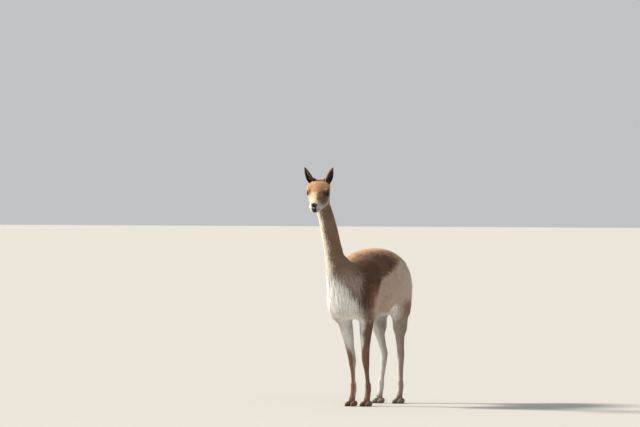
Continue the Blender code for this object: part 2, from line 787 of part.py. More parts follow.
def fuse_locks(made, meshes):
    """Joins the locks to the object that they grow from, as one closed body."""
    locks = [add_object(mesh.name, mesh) for mesh in meshes]
    return apply_boolean(made, locks, "UNION")


def bib_roots():
    """The roots of the chest's hair, in rows round the front of the chest."""
    roots, drops = [], []
    for row, (height, count, half, length) in enumerate(BIB_ROWS):
        for n in range(count):
            share = (n + 0.5 + 0.25 * (-1) ** row) / count * 2 - 1
            turn = BIB_HALF_ANGLE * share
            x, y = BIB_REACH * math.sin(turn), BIB_AXIS_Y - BIB_REACH * math.cos(turn)
            roots.append((x, y, height))
            drops.append((half, length))
    return roots, drops


def fringe_roots():
    """The roots of the hair along the lower flanks."""
    roots, drops = [], []
    first, last = FRINGE_ENDS
    for sign in (1, -1):
        for row, (x, height, count, half, length) in enumerate(FRINGE_ROWS):
            for n in range(count):
                y = first + (last - first) * (n + 0.5 * row) / (count - 0.5)
                roots.append((sign * x, y, height))
                drops.append((half, length))
    return roots, drops


def tail_roots():
    """The roots of the tail's hair, in rings down the tail."""
    rows = smooth_stations(TAIL)
    roots, drops = [], []
    for row, (height, count, half, length) in enumerate(TAIL_ROWS):
        middle = rows[np.abs(rows[:, 2] - height).argmin()]
        for n in range(count):
            turn = math.pi * (n + 0.5 * (row % 2)) / (count - 0.5)
            x, y = TAIL_REACH * math.cos(turn), middle[1] + TAIL_REACH * math.sin(turn)
            roots.append((x, y, height))
            drops.append((half, length))
    return roots, drops


def build_long_hair(torso):
    """The bib of the chest and the fringe of the belly, fused to the torso."""
    chance = random.Random(SEED)
    meshes = lock_meshes("bib", body_field, *bib_roots(), BIB_LIFT, chance, LOWEST_TIP)
    meshes += lock_meshes("fringe", body_field, *fringe_roots(), FRINGE_LIFT, chance, LOWEST_TIP)
    return fuse_locks(torso, meshes)


def build_tail(coat, torso):
    """The tail with its hanging hair, cut to meet the rump."""
    low, high = (-0.05, 0.28, 0.55), (0.05, 0.46, 0.80)
    mesh = thinned_surface("tail", tail_field, low, high, TAIL_CELL, TAIL_FACES)
    chance = random.Random(SEED)
    locks = lock_meshes("hair", tail_field, *tail_roots(), TAIL_LIFT, chance)
    tail = fuse_locks(add_object("tail", mesh, coat), locks)
    apply_boolean(tail, [inflated(torso)], "DIFFERENCE")


def centre_on_floor():
    """Moves everything so that the middle of its box, seen from above, is at X = Y = 0."""
    places = [v.co for made in bpy.data.objects for v in made.data.vertices]
    middle = [(max(p[n] for p in places) + min(p[n] for p in places)) / 2 for n in (0, 1)]
    shift = Matrix.Translation((-middle[0], -middle[1], 0))
    for made in bpy.data.objects:
        made.data.transform(shift)


def main():
    for old in list(bpy.data.objects):
        bpy.data.objects.remove(old)
    coat = material_of("coat", (0.52, 0.33, 0.18), 0.9)
    glass = material_of("eye", (0.02, 0.015, 0.012), 0.1)
    horn = material_of("nail", (0.10, 0.08, 0.07), 0.5)
    body = build_body(coat)
    build_feet(coat, horn)
    head = build_head(coat, glass)
    build_ears(coat, head)
    torso = build_long_hair(body["torso"])
    build_tail(coat, torso)
    centre_on_floor()


main()
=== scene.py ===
"""The looks of the vicuna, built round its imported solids.

The animal faces -Y and its own left is +X. Its forms are named in metres before a shift that the
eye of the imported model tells. The skin is one closed surface that lies under the coat, with the
lids, lips and nostrils in it, and the coat is small solid tufts and locks that follow the lie
of the hair.
"""

import math

import bpy
import numpy as np
from mathutils import Matrix, Vector


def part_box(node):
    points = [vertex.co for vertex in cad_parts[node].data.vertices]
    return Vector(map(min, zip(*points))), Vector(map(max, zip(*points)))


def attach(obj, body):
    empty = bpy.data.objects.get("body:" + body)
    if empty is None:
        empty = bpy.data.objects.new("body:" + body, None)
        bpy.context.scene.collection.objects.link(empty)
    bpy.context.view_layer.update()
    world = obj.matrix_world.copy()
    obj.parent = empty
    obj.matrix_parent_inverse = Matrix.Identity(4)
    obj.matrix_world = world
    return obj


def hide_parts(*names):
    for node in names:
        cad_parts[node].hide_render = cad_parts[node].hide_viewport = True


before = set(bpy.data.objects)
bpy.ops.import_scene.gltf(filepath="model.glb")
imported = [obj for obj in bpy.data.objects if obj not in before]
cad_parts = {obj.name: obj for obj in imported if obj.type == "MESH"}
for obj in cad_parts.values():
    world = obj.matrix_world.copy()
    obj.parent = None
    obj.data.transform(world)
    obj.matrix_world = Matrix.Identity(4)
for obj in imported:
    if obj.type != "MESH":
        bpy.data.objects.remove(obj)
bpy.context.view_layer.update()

SEED = 7

# The pose of the head
HEAD_TURN = math.radians(15)
HEAD_TILT = math.radians(1)
HEAD_NOD = math.radians(11)
POLL = Vector((-0.0475, -0.593, 1.161))

# A station of a tube is x, y, z, half width across and half depth.
TRUNK = [
    (0.000, -0.334, 0.622, 0.093, 0.113),
    (0.000, -0.280, 0.642, 0.118, 0.144),
    (0.000, -0.180, 0.666, 0.141, 0.171),
    (0.000, -0.050, 0.684, 0.152, 0.182),
    (0.000, 0.080, 0.688, 0.150, 0.181),
    (0.000, 0.180, 0.680, 0.133, 0.163),
    (0.000, 0.250, 0.666, 0.110, 0.140),
    (0.000, 0.303, 0.660, 0.084, 0.099),
]
NECK = [
    (-0.008, -0.290, 0.670, 0.101, 0.120),
    (-0.018, -0.351, 0.714, 0.090, 0.105),
    (-0.025, -0.397, 0.762, 0.0735, 0.087),
    (-0.029, -0.438, 0.812, 0.0590, 0.067),
    (-0.030, -0.463, 0.865, 0.0515, 0.061),
    (-0.031, -0.488, 0.917, 0.0475, 0.057),
    (-0.032, -0.512, 0.972, 0.0450, 0.055),
    (-0.038, -0.544, 1.050, 0.042, 0.050),
    (-0.045, -0.568, 1.105, 0.041, 0.048),
    (-0.049, -0.593, 1.150, 0.041, 0.048),
]
# The limbs of the left side, which the right side mirrors
SHOULDER = [
    (0.058, -0.215, 0.750, 0.048, 0.058),
    (0.074, -0.250, 0.670, 0.056, 0.080),
    (0.078, -0.268, 0.595, 0.056, 0.080),
    (0.074, -0.246, 0.530, 0.050, 0.068),
]
FORELEG = [
    (0.072, -0.234, 0.520, 0.045, 0.058),
    (0.064, -0.223, 0.465, 0.040, 0.050),
    (0.055, -0.212, 0.400, 0.032, 0.040),
    (0.047, -0.197, 0.325, 0.024, 0.030),
    (0.041, -0.183, 0.265, 0.0215, 0.0240),
    (0.041, -0.178, 0.238, 0.0195, 0.0215),
    (0.042, -0.170, 0.195, 0.0132, 0.0160),
    (0.043, -0.160, 0.140, 0.0116, 0.0142),
    (0.0440, -0.153, 0.095, 0.0132, 0.0158),
    (0.0445, -0.162, 0.060, 0.0130, 0.0155),
]
THIGH = [
    (0.050, 0.172, 0.728, 0.054, 0.082),
    (0.068, 0.192, 0.668, 0.058, 0.100),
    (0.078, 0.203, 0.600, 0.055, 0.101),
    (0.079, 0.211, 0.530, 0.046, 0.085),
]
HAM = [
    (0.048, 0.296, 0.640, 0.044, 0.062),
    (0.054, 0.284, 0.562, 0.040, 0.058),
    (0.061, 0.262, 0.492, 0.031, 0.047),
    (0.063, 0.250, 0.430, 0.025, 0.036),
]
HIND_LEG = [
    (0.079, 0.210, 0.540, 0.045, 0.082),
    (0.070, 0.229, 0.460, 0.036, 0.057),
    (0.062, 0.250, 0.390, 0.027, 0.038),
    (0.055, 0.272, 0.325, 0.021, 0.028),
    (0.051, 0.288, 0.280, 0.019, 0.0275),
    (0.0515, 0.286, 0.245, 0.0175, 0.0230),
    (0.054, 0.278, 0.190, 0.0152, 0.0176),
    (0.057, 0.270, 0.140, 0.0134, 0.0160),
    (0.0595, 0.265, 0.097, 0.0138, 0.0164),
    (0.0605, 0.255, 0.060, 0.0134, 0.0160),
]
TAIL = [
    (0.000, 0.325, 0.745, 0.024, 0.022),
    (0.000, 0.364, 0.737, 0.024, 0.020),
    (0.000, 0.394, 0.702, 0.022, 0.018),
    (0.000, 0.405, 0.650, 0.019, 0.016),
    (0.000, 0.406, 0.598, 0.014, 0.012),
]
BIB = [
    (-0.008, -0.325, 0.622, 0.070, 0.080),
    (-0.006, -0.316, 0.570, 0.056, 0.054),
    (-0.004, -0.308, 0.537, 0.038, 0.032),
]
# The head in its own axes, with its origin at the poll: -Y is ahead and +Z is up.
SKULL = [
    (0.0, 0.001, 0.011, 0.048, 0.050),
    (0.0, -0.025, 0.031, 0.0565, 0.066),
    (0.0, -0.060, 0.029, 0.0590, 0.066),
    (0.0, -0.095, 0.012, 0.051, 0.053),
    (0.0, -0.130, -0.002, 0.0400, 0.0410),
    (0.0, -0.162, -0.009, 0.0335, 0.0330),
    (0.0, -0.188, -0.013, 0.0318, 0.0290),
    (0.0, -0.203, -0.015, 0.0286, 0.0255),
]
JAW = [
    (0.0, -0.045, -0.018, 0.046, 0.032),
    (0.0, -0.095, -0.026, 0.038, 0.028),
    (0.0, -0.150, -0.033, 0.026, 0.0185),
    (0.0, -0.190, -0.036, 0.0218, 0.0155),
    (0.0, -0.202, -0.036, 0.0196, 0.0140),
]
BROW = [
    (0.030, -0.066, 0.070, 0.020, 0.020),
    (0.047, -0.094, 0.060, 0.011, 0.009),
    (0.048, -0.108, 0.054, 0.008, 0.007),
]
EAR_BASE = [
    (0.026, -0.022, 0.062, 0.0160, 0.0160),
    (0.033, -0.025, 0.084, 0.0135, 0.0135),
]
UPPER_LIP = [
    (0.0112, -0.2190, -0.0175, 0.0094, 0.0075),
    (0.0202, -0.2040, -0.0190, 0.0094, 0.0065),
]
NOSE_WING = [
    (0.0125, -0.2200, -0.0030, 0.0080, 0.0080),
    (0.0180, -0.2120, 0.0020, 0.0070, 0.0070),
]
EYE_CENTRE = Vector((0.0410, -0.0945, 0.0375))
EYE_RADIUS = 0.0175
EYE_GAZE = Vector((0.86, -0.50, 0.06)).normalized()
LID_THICKNESS = 0.0030
LID_OPENING = (0.0152, 0.0116)
LID_TILT = 0.14
NOSTRIL_SLIT = [
    (0.0066, -0.2300, -0.0095, 0.0014, 0.0020),
    (0.0098, -0.2290, -0.0055, 0.0024, 0.0032),
    (0.0132, -0.2235, 0.0005, 0.0016, 0.0022),
]
MOUTH = [
    (0.030, -0.158, -0.0290),
    (0.028, -0.172, -0.0285),
    (0.027, -0.188, -0.0272),
    (0.023, -0.204, -0.0258),
    (0.013, -0.219, -0.0248),
    (0.000, -0.226, -0.0242),
]
MOUTH_GROOVE = 0.0019
LIP_CLEFT = [(0.0, -0.229, -0.0240, 0.0012, 0.0014), (0.0, -0.232, -0.0110, 0.0008, 0.0010)]

EAR_ROOT = Vector((0.035, -0.024, 0.074))
# The left ear, at 1, stands steeper than the right.
EAR_TIPS = {1: Vector((0.0740, -0.038, 0.168)), -1: Vector((-0.0815, -0.038, 0.168))}
EAR_WALL = 0.0026
# The way that the left ear opens, and how far each ear's middle line bows towards its opening
EAR_OPENING = (0.45, -0.9, 0)
EAR_BOW = 0.010
# A station of an ear is the share of its length, its half width and half the angle of its cup.
EAR_PROFILE = [
    (0.00, 0.0130, 150),
    (0.12, 0.0158, 135),
    (0.26, 0.0184, 112),
    (0.42, 0.0194, 95),
    (0.58, 0.0178, 85),
    (0.74, 0.0142, 77),
    (0.88, 0.0090, 69),
    (1.00, 0.0028, 61),
]
# A station of a nail runs ahead of its toe: reach, half width, lowest and highest height.
NAIL_PROFILE = [
    (0.042, 0.0062, 0.0050, 0.0170),
    (0.052, 0.0068, 0.0034, 0.0192),
    (0.062, 0.0063, 0.0022, 0.0182),
    (0.072, 0.0048, 0.0014, 0.0130),
    (0.078, 0.0027, 0.0010, 0.0080),
    (0.0800, 0.0010, 0.0010, 0.0045),
]
# How far apart the toes stand, how much they part ahead and how far ahead the last part is.
TOE_SPREAD, TOE_FLARE, TOE_REACH = 0.0132, 0.0035, 0.058
# The toes' share of the leg's own distance from the middle
TOE_SPLAY = 1.02

# The station of a leg that its foot hangs from
PASTERN = 8
# The head lies wholly above one height, and the feet below another.
HEAD_LOWEST, FEET_HIGHEST = 0.98, 0.16

# Heights where the skin's fine and coarse surfaces meet
THROAT_HEIGHT = 1.050
ANKLE_HEIGHT = 0.130
BODY_CELL, HEAD_CELL, FOOT_CELL = 0.0055, 0.0014, 0.0020
# The cells of a foot's surface, from the ankle down past the floor
FOOT_CELLS = 76
STATION_STEPS = 4
FLOOR_GAP = 0.0004
# The distance given to points well clear of a form, and how far out a form is felt
FAR = 1.0
NEARBY = 0.045


# Shape helpers


def smooth_stations(stations, steps=STATION_STEPS):
    """More stations on a smooth curve through the given ones."""
    rows = np.array(stations, float)
    padded = np.vstack([2 * rows[0] - rows[1], rows, 2 * rows[-1] - rows[-2]])
    found = []
    for a, b, c, d in zip(padded, padded[1:], padded[2:], padded[3:]):
        for t in np.linspace(0, 1, steps, endpoint=False):
            curve = 2 * b + (c - a) * t + (2 * a - 5 * b + 4 * c - d) * t**2
            found.append(0.5 * (curve + (3 * b - a - 3 * c + d) * t**3))
    return np.array([*found, rows[-1]])


def tube_distance(points, stations, power=2.0):
    """Distance to a tube whose cross sections are ellipses, or squarer where power is over 2.
    Points well clear of the tube get FAR instead."""
    rows = smooth_stations(stations)
    nearest = np.full(len(points), FAR)
    reach = rows[:, 3:].max() + NEARBY
    low, high = rows[:, :3].min(axis=0) - reach, rows[:, :3].max(axis=0) + reach
    close = np.flatnonzero(((points > low) & (points < high)).all(axis=1))
    for start, end in zip(rows, rows[1:]):
        along = end[:3] - start[:3]
        length = np.linalg.norm(along)
        along = along / length
        side = np.array([1.0, 0.0, 0.0]) - along[0] * along
        side /= np.linalg.norm(side)
        fore = np.cross(along, side)
        reach = max(start[3:].max(), end[3:].max()) + NEARBY
        low, high = np.minimum(start, end)[:3] - reach, np.maximum(start, end)[:3] + reach
        here = close[((points[close] > low) & (points[close] < high)).all(axis=1)]
        share = np.clip((points[here] - start[:3]) @ along / length, 0, 1)
        radii = start[3:] + share[:, None] * (end[3:] - start[3:])
        offset = points[here] - start[:3] - share[:, None] * (along * length)
        across = np.abs(offset @ side) / radii[:, 0]
        deep = np.abs(offset @ fore) / radii[:, 1]
        over = np.abs(offset @ along) / radii.min(axis=1)
        size = (across**power + deep**power + over**power) ** (1 / power) + 1e-9
        found = (np.linalg.norm(offset, axis=1) + 1e-9) * (1 - 1 / size)
        nearest[here] = np.minimum(nearest[here], found)
    return nearest


def blended(first, second, width):
    """The smaller of two distances, rounded over width where they meet."""
    share = np.clip(1 - np.abs(first - second) / width, 0, 1)
    return np.minimum(first, second) - share**2 * width / 4


def carved(first, cutter, width):
    """The first shape less the cutter, rounded over width along the edge."""
    return -blended(-first, cutter, width)


def ramp(low, high, values):
    """0 up to low, 1 from high on, and smooth between them."""
    share = np.clip((np.asarray(values, float) - low) / (high - low), 0, 1)
    return share * share * (3 - 2 * share)


def mixed(first, second, share):
    """The first value where the share is 0, and the second where it is 1."""
    return first + (second - first) * share


def folded(points):
    """The points with the right side laid on the left."""
    both = np.array(points, float)
    both[:, 0] = np.abs(both[:, 0])
    return both


def unit(vectors):
    return vectors / (np.linalg.norm(vectors, axis=-1, keepdims=True) + 1e-12)


def on_surface(field_at, points, steps=5, step=0.0008):
    """The points moved onto the surface where the field is zero, and its outward directions."""
    places = np.array(points, float)
    for _ in range(steps):
        slopes = [field_at(places + axis) - field_at(places - axis) for axis in np.eye(3) * step]
        slope = np.stack(slopes, axis=1) / (2 * step)
        size = np.linalg.norm(slope, axis=1, keepdims=True) + 1e-9
        places = places - field_at(places)[:, None] * slope / size**2
    return places, slope / size


def on_side(place, sign):
    """A place of the left side where sign is 1, and its mirror image where sign is -1."""
    return Vector((sign * place.x, place.y, place.z))


def head_matrix():
    turn = Matrix.Rotation(HEAD_TURN, 4, "Z") @ Matrix.Rotation(HEAD_TILT, 4, "Y")
    return Matrix.Translation(POLL) @ turn @ Matrix.Rotation(HEAD_NOD, 4, "X")


HEAD = np.array(head_matrix())
HEAD_INVERSE = np.array(head_matrix().inverted())


def to_head(points):
    return points @ HEAD_INVERSE[:3, :3].T + HEAD_INVERSE[:3, 3]


def from_head(points):
    return points @ HEAD[:3, :3].T + HEAD[:3, 3]


def axes_along(direction, up):
    """A turn whose Z axis is the direction and whose Y axis lies towards up."""
    across = up.cross(direction).normalized()
    rise = direction.cross(across)
    return Matrix((across, rise, direction)).transposed()


def eye_frame(sign):
    """The turn and place of an eye in the room: its Z axis is the gaze, its Y axis is up."""
    turn = axes_along(on_side(EYE_GAZE, sign), EYE_UP)
    return head_matrix() @ Matrix.Translation(on_side(EYE_CENTRE, sign)) @ turn.to_4x4()


EYE_UP = Vector((0, -0.25, 1))
EYE_AXES = np.array(axes_along(EYE_GAZE, EYE_UP))


def noise(points, scale, seed=0):
    """Smooth values from -1 to 1 that change over about scale."""
    places = points / scale + seed * 17.31
    corner = np.floor(places).astype(np.int64)
    share = places - corner
    share = share * share * (3 - 2 * share)
    total = np.zeros(len(points))
    for i in (0, 1):
        for j in (0, 1):
            for k in (0, 1):
                n = (corner[:, 0] + i) * 73856093 ^ (corner[:, 1] + j) * 19349663
                n = n ^ (corner[:, 2] + k) * 83492791
                n = (n ^ (n >> 13)) * 1274126177 & 0x7FFFFFFF
                value = (n ^ (n >> 16)) % 65536 / 32767.5 - 1
                weight = np.where(i, share[:, 0], 1 - share[:, 0])
                weight = weight * np.where(j, share[:, 1], 1 - share[:, 1])
                total += value * weight * np.where(k, share[:, 2], 1 - share[:, 2])
    return total


# The animal's forms

# The forms that join the trunk, and how far each joint is rounded: those in the middle, then
# those of the left side, which the right side mirrors.
MIDDLE_FORMS = {"neck": (NECK, 0.046), "bib": (BIB, 0.05)}
SIDE_FORMS = {
    "shoulder": (SHOULDER, 0.05),
    "thigh": (THIGH, 0.06),
    "ham": (HAM, 0.04),
    "foreleg": (FORELEG, 0.035),
    "hindleg": (HIND_LEG, 0.035),
}


def limb_distances(points):
    """Distances to each part of the coat's outline, at points in the room."""
    found = {"trunk": tube_distance(points, TRUNK, 2.3)}
    for places, forms in ((points, MIDDLE_FORMS), (folded(points), SIDE_FORMS)):
        for name, (stations, _) in forms.items():
            found[name] = tube_distance(places, stations)
    return found


def outline_field(points):
    """Distance to the coat's outline on the body, without the head, tail and feet."""
    found = limb_distances(points)
    field = found["trunk"]
    for name, (_, width) in {**MIDDLE_FORMS, **SIDE_FORMS}.items():
        field = blended(field, found[name], width)
    return field


def feet_field(points):
    """Distance to the four feet, each a pastern and two padded toes with a cleft."""
    both = folded(points)
    field = np.full(len(points), FAR)
    for stations in (FORELEG, HIND_LEG):
        x, y, z = stations[PASTERN][:3]
        pastern = [
            (x, y - 0.004, z + 0.025, 0.0124, 0.0150),
            (x, y, z, 0.0134, 0.0160),
            (x * 1.01, y - 0.010, z - 0.032, 0.0138, 0.0162),
            (x * TOE_SPLAY, y - 0.020, z - 0.058, 0.0185, 0.0190),
        ]
        foot = tube_distance(both, pastern)
        for side in (-1, 1):
            centre = x * TOE_SPLAY + side * TOE_SPREAD
            spread = side * TOE_FLARE
            toe = [
                (centre, y - 0.004, 0.0150, 0.0125, 0.0155),
                (centre + spread * 0.5, y - 0.032, 0.0140, 0.0130, 0.0165),
                (centre + spread, y - TOE_REACH, 0.0100, 0.0112, 0.0125),
            ]
            foot = blended(foot, tube_distance(both, toe), 0.007)
        field = np.minimum(field, foot)
    return field


def body_depth(points):
    """How deep the skin lies under the coat's outline on the body."""
    z = points[:, 2]
    depth = mixed(0.0030, 0.0125, ramp(0.40, 0.62, z))
    depth = mixed(0.0016, depth, ramp(0.22, 0.36, z))
    return mixed(depth, 0.0080, ramp(0.80, 0.98, z))


def head_depth(places):
    """How deep the skin lies under the outline of the head, in the head's axes."""
    crown = ramp(-0.100, -0.060, places[:, 1]) * ramp(0.02, 0.05, places[:, 2])
    cheek = ramp(-0.120, -0.040, places[:, 1])
    return 0.0010 + 0.0055 * crown + 0.0030 * cheek * (1 - crown)


def mouth_line():
    """The line of the mouth on the surface, as stations of a thin tube."""
    places = on_surface(skull_base, MOUTH, 6, 0.0005)[0]
    return [(*place, MOUTH_GROOVE, MOUTH_GROOVE) for place in places]


def skull_base(places):
    """The plain shape of the head in its own axes, without the neck."""
    field = tube_distance(places, SKULL, 2.2)
    field = blended(field, tube_distance(places, JAW), 0.018)
    return blended(field, tube_distance(places, BROW), 0.016)


def eye_places(both):
    """Places about the left eye: across and up on its surface, ahead of it, and distance."""
    offset = both - np.array(EYE_CENTRE)
    across, rise, ahead = (offset @ EYE_AXES).T
    distance = np.linalg.norm(offset, axis=1)
    scale = EYE_RADIUS / np.maximum(ahead, 0.004)
    return across * scale, rise * scale, ahead, distance


def opening_field(across, rise):
    """Distance from the almond between the lids."""
    rise = rise - LID_TILT * across
    return np.abs(rise) - LID_OPENING[1] * (1 - (across / LID_OPENING[0]) ** 2)


def skull_field(places):
    """Distance to the skin of the head in its own axes, with lids, lips, nostrils and mouth."""
    both = folded(places)
    field = skull_base(both) + head_depth(both)
    field = blended(field, tube_distance(both, EAR_BASE), 0.012)
    field = blended(field, tube_distance(both, UPPER_LIP) + 0.0008, 0.007)
    field = blended(field, tube_distance(both, NOSE_WING) + 0.0008, 0.006)
    near = np.flatnonzero(np.linalg.norm(both - np.array(EYE_CENTRE), axis=1) < 0.032)
    across, rise, ahead, distance = eye_places(both[near])
    here = blended(field[near], distance - EYE_RADIUS - LID_THICKNESS, 0.009)
    margin = opening_field(across, rise)
    front = ramp(0.002, 0.008, ahead)
    upper = ramp(-0.004, 0.004, rise - LID_TILT * across)
    fold = np.exp(-(((margin - 0.0050) / 0.0013) ** 2)) * (0.0012 * upper + 0.0005 * (1 - upper))
    here = here + fold * front - 0.0007 * front * np.exp(-(((margin - 0.0016) / 0.0014) ** 2))
    socket = np.maximum(distance - EYE_RADIUS - 0.0002, -(ahead + 0.001))
    gap = np.where(ahead > 0.004, margin, FAR)
    field[near] = carved(here, np.minimum(socket, gap), 0.0012)
    tip = np.flatnonzero(both[:, 1] < -0.13)
    field[tip] = carved(field[tip], tube_distance(both[tip], MOUTH_TUBE), 0.0022)
    field[tip] = carved(field[tip], tube_distance(both[tip], LIP_CLEFT), 0.0020)
    field[tip] = carved(field[tip], tube_distance(both[tip], NOSTRIL_SLIT), 0.0022)
    return field


MOUTH_TUBE = mouth_line()


def skin_field(points):
    """Distance to the skin under the coat, at points in the room."""
    field = outline_field(points) + body_depth(points)
    field = blended(field, tube_distance(points, TAIL) + 0.0040, 0.020)
    high = np.flatnonzero(points[:, 2] > HEAD_LOWEST)
    field[high] = blended(field[high], skull_field(to_head(points[high])), 0.030)
    low = np.flatnonzero(points[:, 2] < FEET_HIGHEST)
    field[low] = blended(field[low], feet_field(points[low]) + 0.0014, 0.010)
    field[low] = np.maximum(field[low], 0.0006 - points[low, 2])
    return field


# Surfaces from fields


def grid_of(field_at, low, high, cell, step=4):
    """Values on a fine grid: true ones near the surface, and rough ones elsewhere."""
    counts = [step * int(math.ceil((b - a) / cell / step)) + 1 for a, b in zip(low, high)]
    axes = [a + cell * np.arange(n) for a, n in zip(low, counts)]
    coarse = np.stack(np.meshgrid(*(a[::step] for a in axes), indexing="ij"), axis=-1)
    rough = field_at(coarse.reshape(-1, 3)).reshape(coarse.shape[:3])
    nearest = [np.round(np.arange(n) / step).astype(int) for n in counts]
    field = rough[np.ix_(*nearest)]
    near = np.argwhere(np.abs(field) < 2.2 * step * cell)
    places = np.stack([axis[near[:, n]] for n, axis in enumerate(axes)], axis=1)
    field[tuple(near.T)] = field_at(places)
    return field


def surface_of(field_at, low, high, cell):
    """Vertices and quads where the field is zero: one vertex in each cell that it crosses."""
    field = grid_of(field_at, low, high, cell)
    inside = field < 0
    size = [n - 1 for n in field.shape]
    corners = [(i, j, k) for i in (0, 1) for j in (0, 1) for k in (0, 1)]

    def at(values, corner):
        return values[tuple(slice(c, c + n) for c, n in zip(corner, size))]

    some, every = np.zeros(size, bool), np.ones(size, bool)
    for corner in corners:
        some |= at(inside, corner)
        every &= at(inside, corner)
    cells = np.argwhere(some & ~every)
    total, crossings = np.zeros((len(cells), 3)), np.zeros(len(cells))
    for first in corners:
        for axis in range(3):
            if first[axis]:
                continue
            second = tuple(c + (n == axis) for n, c in enumerate(first))
            a = field[tuple((cells + first).T)]
            b = field[tuple((cells + second).T)]
            crossed = (a < 0) != (b < 0)
            share = np.where(crossed, a / np.where(crossed, a - b, 1), 0)
            place = np.array(first) + share[:, None] * (np.arange(3) == axis)
            total += np.where(crossed[:, None], place, 0)
            crossings += crossed
    index = np.full(size, -1)
    index[tuple(cells.T)] = np.arange(len(cells))
    vertices = np.array(low) + cell * (total / crossings[:, None] + cells)
    quads = []
    for axis in range(3):
        u, v = (axis + 1) % 3, (axis + 2) % 3
        ahead = np.moveaxis(inside, (axis, u, v), (0, 1, 2))
        place = np.moveaxis(index, (axis, u, v), (0, 1, 2))
        here, there = ahead[:-1, 1:-1, 1:-1], ahead[1:, 1:-1, 1:-1]
        ring = [place[:, :-1, :-1], place[:, 1:, :-1], place[:, 1:, 1:], place[:, :-1, 1:]]
        for wanted, turned in ((here & ~there, 1), (~here & there, -1)):
            quads.append(np.stack([r[wanted] for r in ring[::turned]], axis=1))
    return vertices, np.concatenate(quads)


def rims_of(quads):
    """The vertices on open edges, by the group of edges that they are joined in."""
    edges = np.concatenate([quads[:, [n, (n + 1) % 4]] for n in range(4)])
    _, first, counts = np.unique(
        np.sort(edges, axis=1), axis=0, return_index=True, return_counts=True
    )
    ahead = {}
    for a, b in edges[first[counts == 1]]:
        ahead.setdefault(int(a), int(b))
    rims = []
    while ahead:
        start, place = ahead.popitem()
        rim = [start]
        while place in ahead:
            rim.append(place)
            place = ahead.pop(place)
        rims.append(np.array(rim))
    return rims


def stitched(vertices, rim, other):
    """Triangles between two rims that lie round the same upright axis."""
    middle = vertices[rim].mean(axis=0)
    events = []
    for which, loop in enumerate((rim, other)):
        offset = vertices[loop] - middle
        angles = np.arctan2(offset[:, 1], offset[:, 0])
        events += [(angle, which, int(vertex)) for angle, vertex in zip(angles, loop)]
    events.sort()
    last = [max(e for e in events if e[1] == which)[2] for which in (0, 1)]
    faces = []
    for _, which, vertex in events:
        faces.append((last[0], last[1], vertex))
        last[which] = vertex
    faces = np.array(faces)
    a, b, c = (vertices[faces[:, n]] for n in range(3))
    outward = ((a + b + c) / 3 - middle) * (1, 1, 0)
    turned = (np.cross(b - a, c - a) * outward).sum(axis=1) < 0
    faces[turned] = faces[turned][:, ::-1]
    return faces


def skin_surface():
    """The whole skin without the ears, as vertices, quads and triangles."""
    low, high = (-0.22, -0.70, ANKLE_HEIGHT), (0.22, 0.45, THROAT_HEIGHT)
    parts = [surface_of(skin_field, low, high, BODY_CELL)]
    low, high = (-0.130, -0.850, THROAT_HEIGHT), (0.090, -0.480, 1.290)
    parts.append(surface_of(skin_field, low, high, HEAD_CELL))
    for stations in (FORELEG, HIND_LEG):
        x, y = stations[PASTERN][:2]
        for sign in (1, -1):
            low = (sign * x - 0.045, y - 0.10, ANKLE_HEIGHT - FOOT_CELLS * FOOT_CELL)
            high = (sign * x + 0.045, y + 0.04, ANKLE_HEIGHT)
            parts.append(surface_of(skin_field, low, high, FOOT_CELL))
    starts = np.cumsum([0] + [len(vertices) for vertices, _ in parts])
    vertices = np.concatenate([vertices for vertices, _ in parts])
    quads = np.concatenate([q + start for (_, q), start in zip(parts, starts)])
    open_rims = []
    for (_, own_quads), start in zip(parts, starts):
        open_rims.append([rim + start for rim in rims_of(own_quads) if len(rim) > 6])
    faces = []
    for others in open_rims[1:]:
        for other in others:
            middle = vertices[other].mean(axis=0)
            gaps = [np.linalg.norm(vertices[rim].mean(axis=0) - middle) for rim in open_rims[0]]
            faces.append(stitched(vertices, open_rims[0][int(np.argmin(gaps))], other))
    return vertices, quads, np.concatenate(faces)


def ring_quads(rings, around):
    """Quads round a stack of closed rings whose vertices are numbered ring by ring."""
    starts = around * np.arange(rings - 1)[:, None]
    a, b = starts + np.arange(around), starts + (np.arange(around) + 1) % around
    return np.stack([a, b, b + around, a + around], axis=-1).reshape(-1, 4)


def ear_stations(count):
    """The ear's profile at many shares of its length, closer together towards the tip."""
    rows = smooth_stations([(*row, 0, 0) for row in EAR_PROFILE], 8)[:, :3]
    shares = 1 - (1 - np.linspace(0, 1, count)) ** 1.3
    return [
        (s, np.interp(s, rows[:, 0], rows[:, 1]), np.interp(s, rows[:, 0], rows[:, 2]))
        for s in shares
    ]


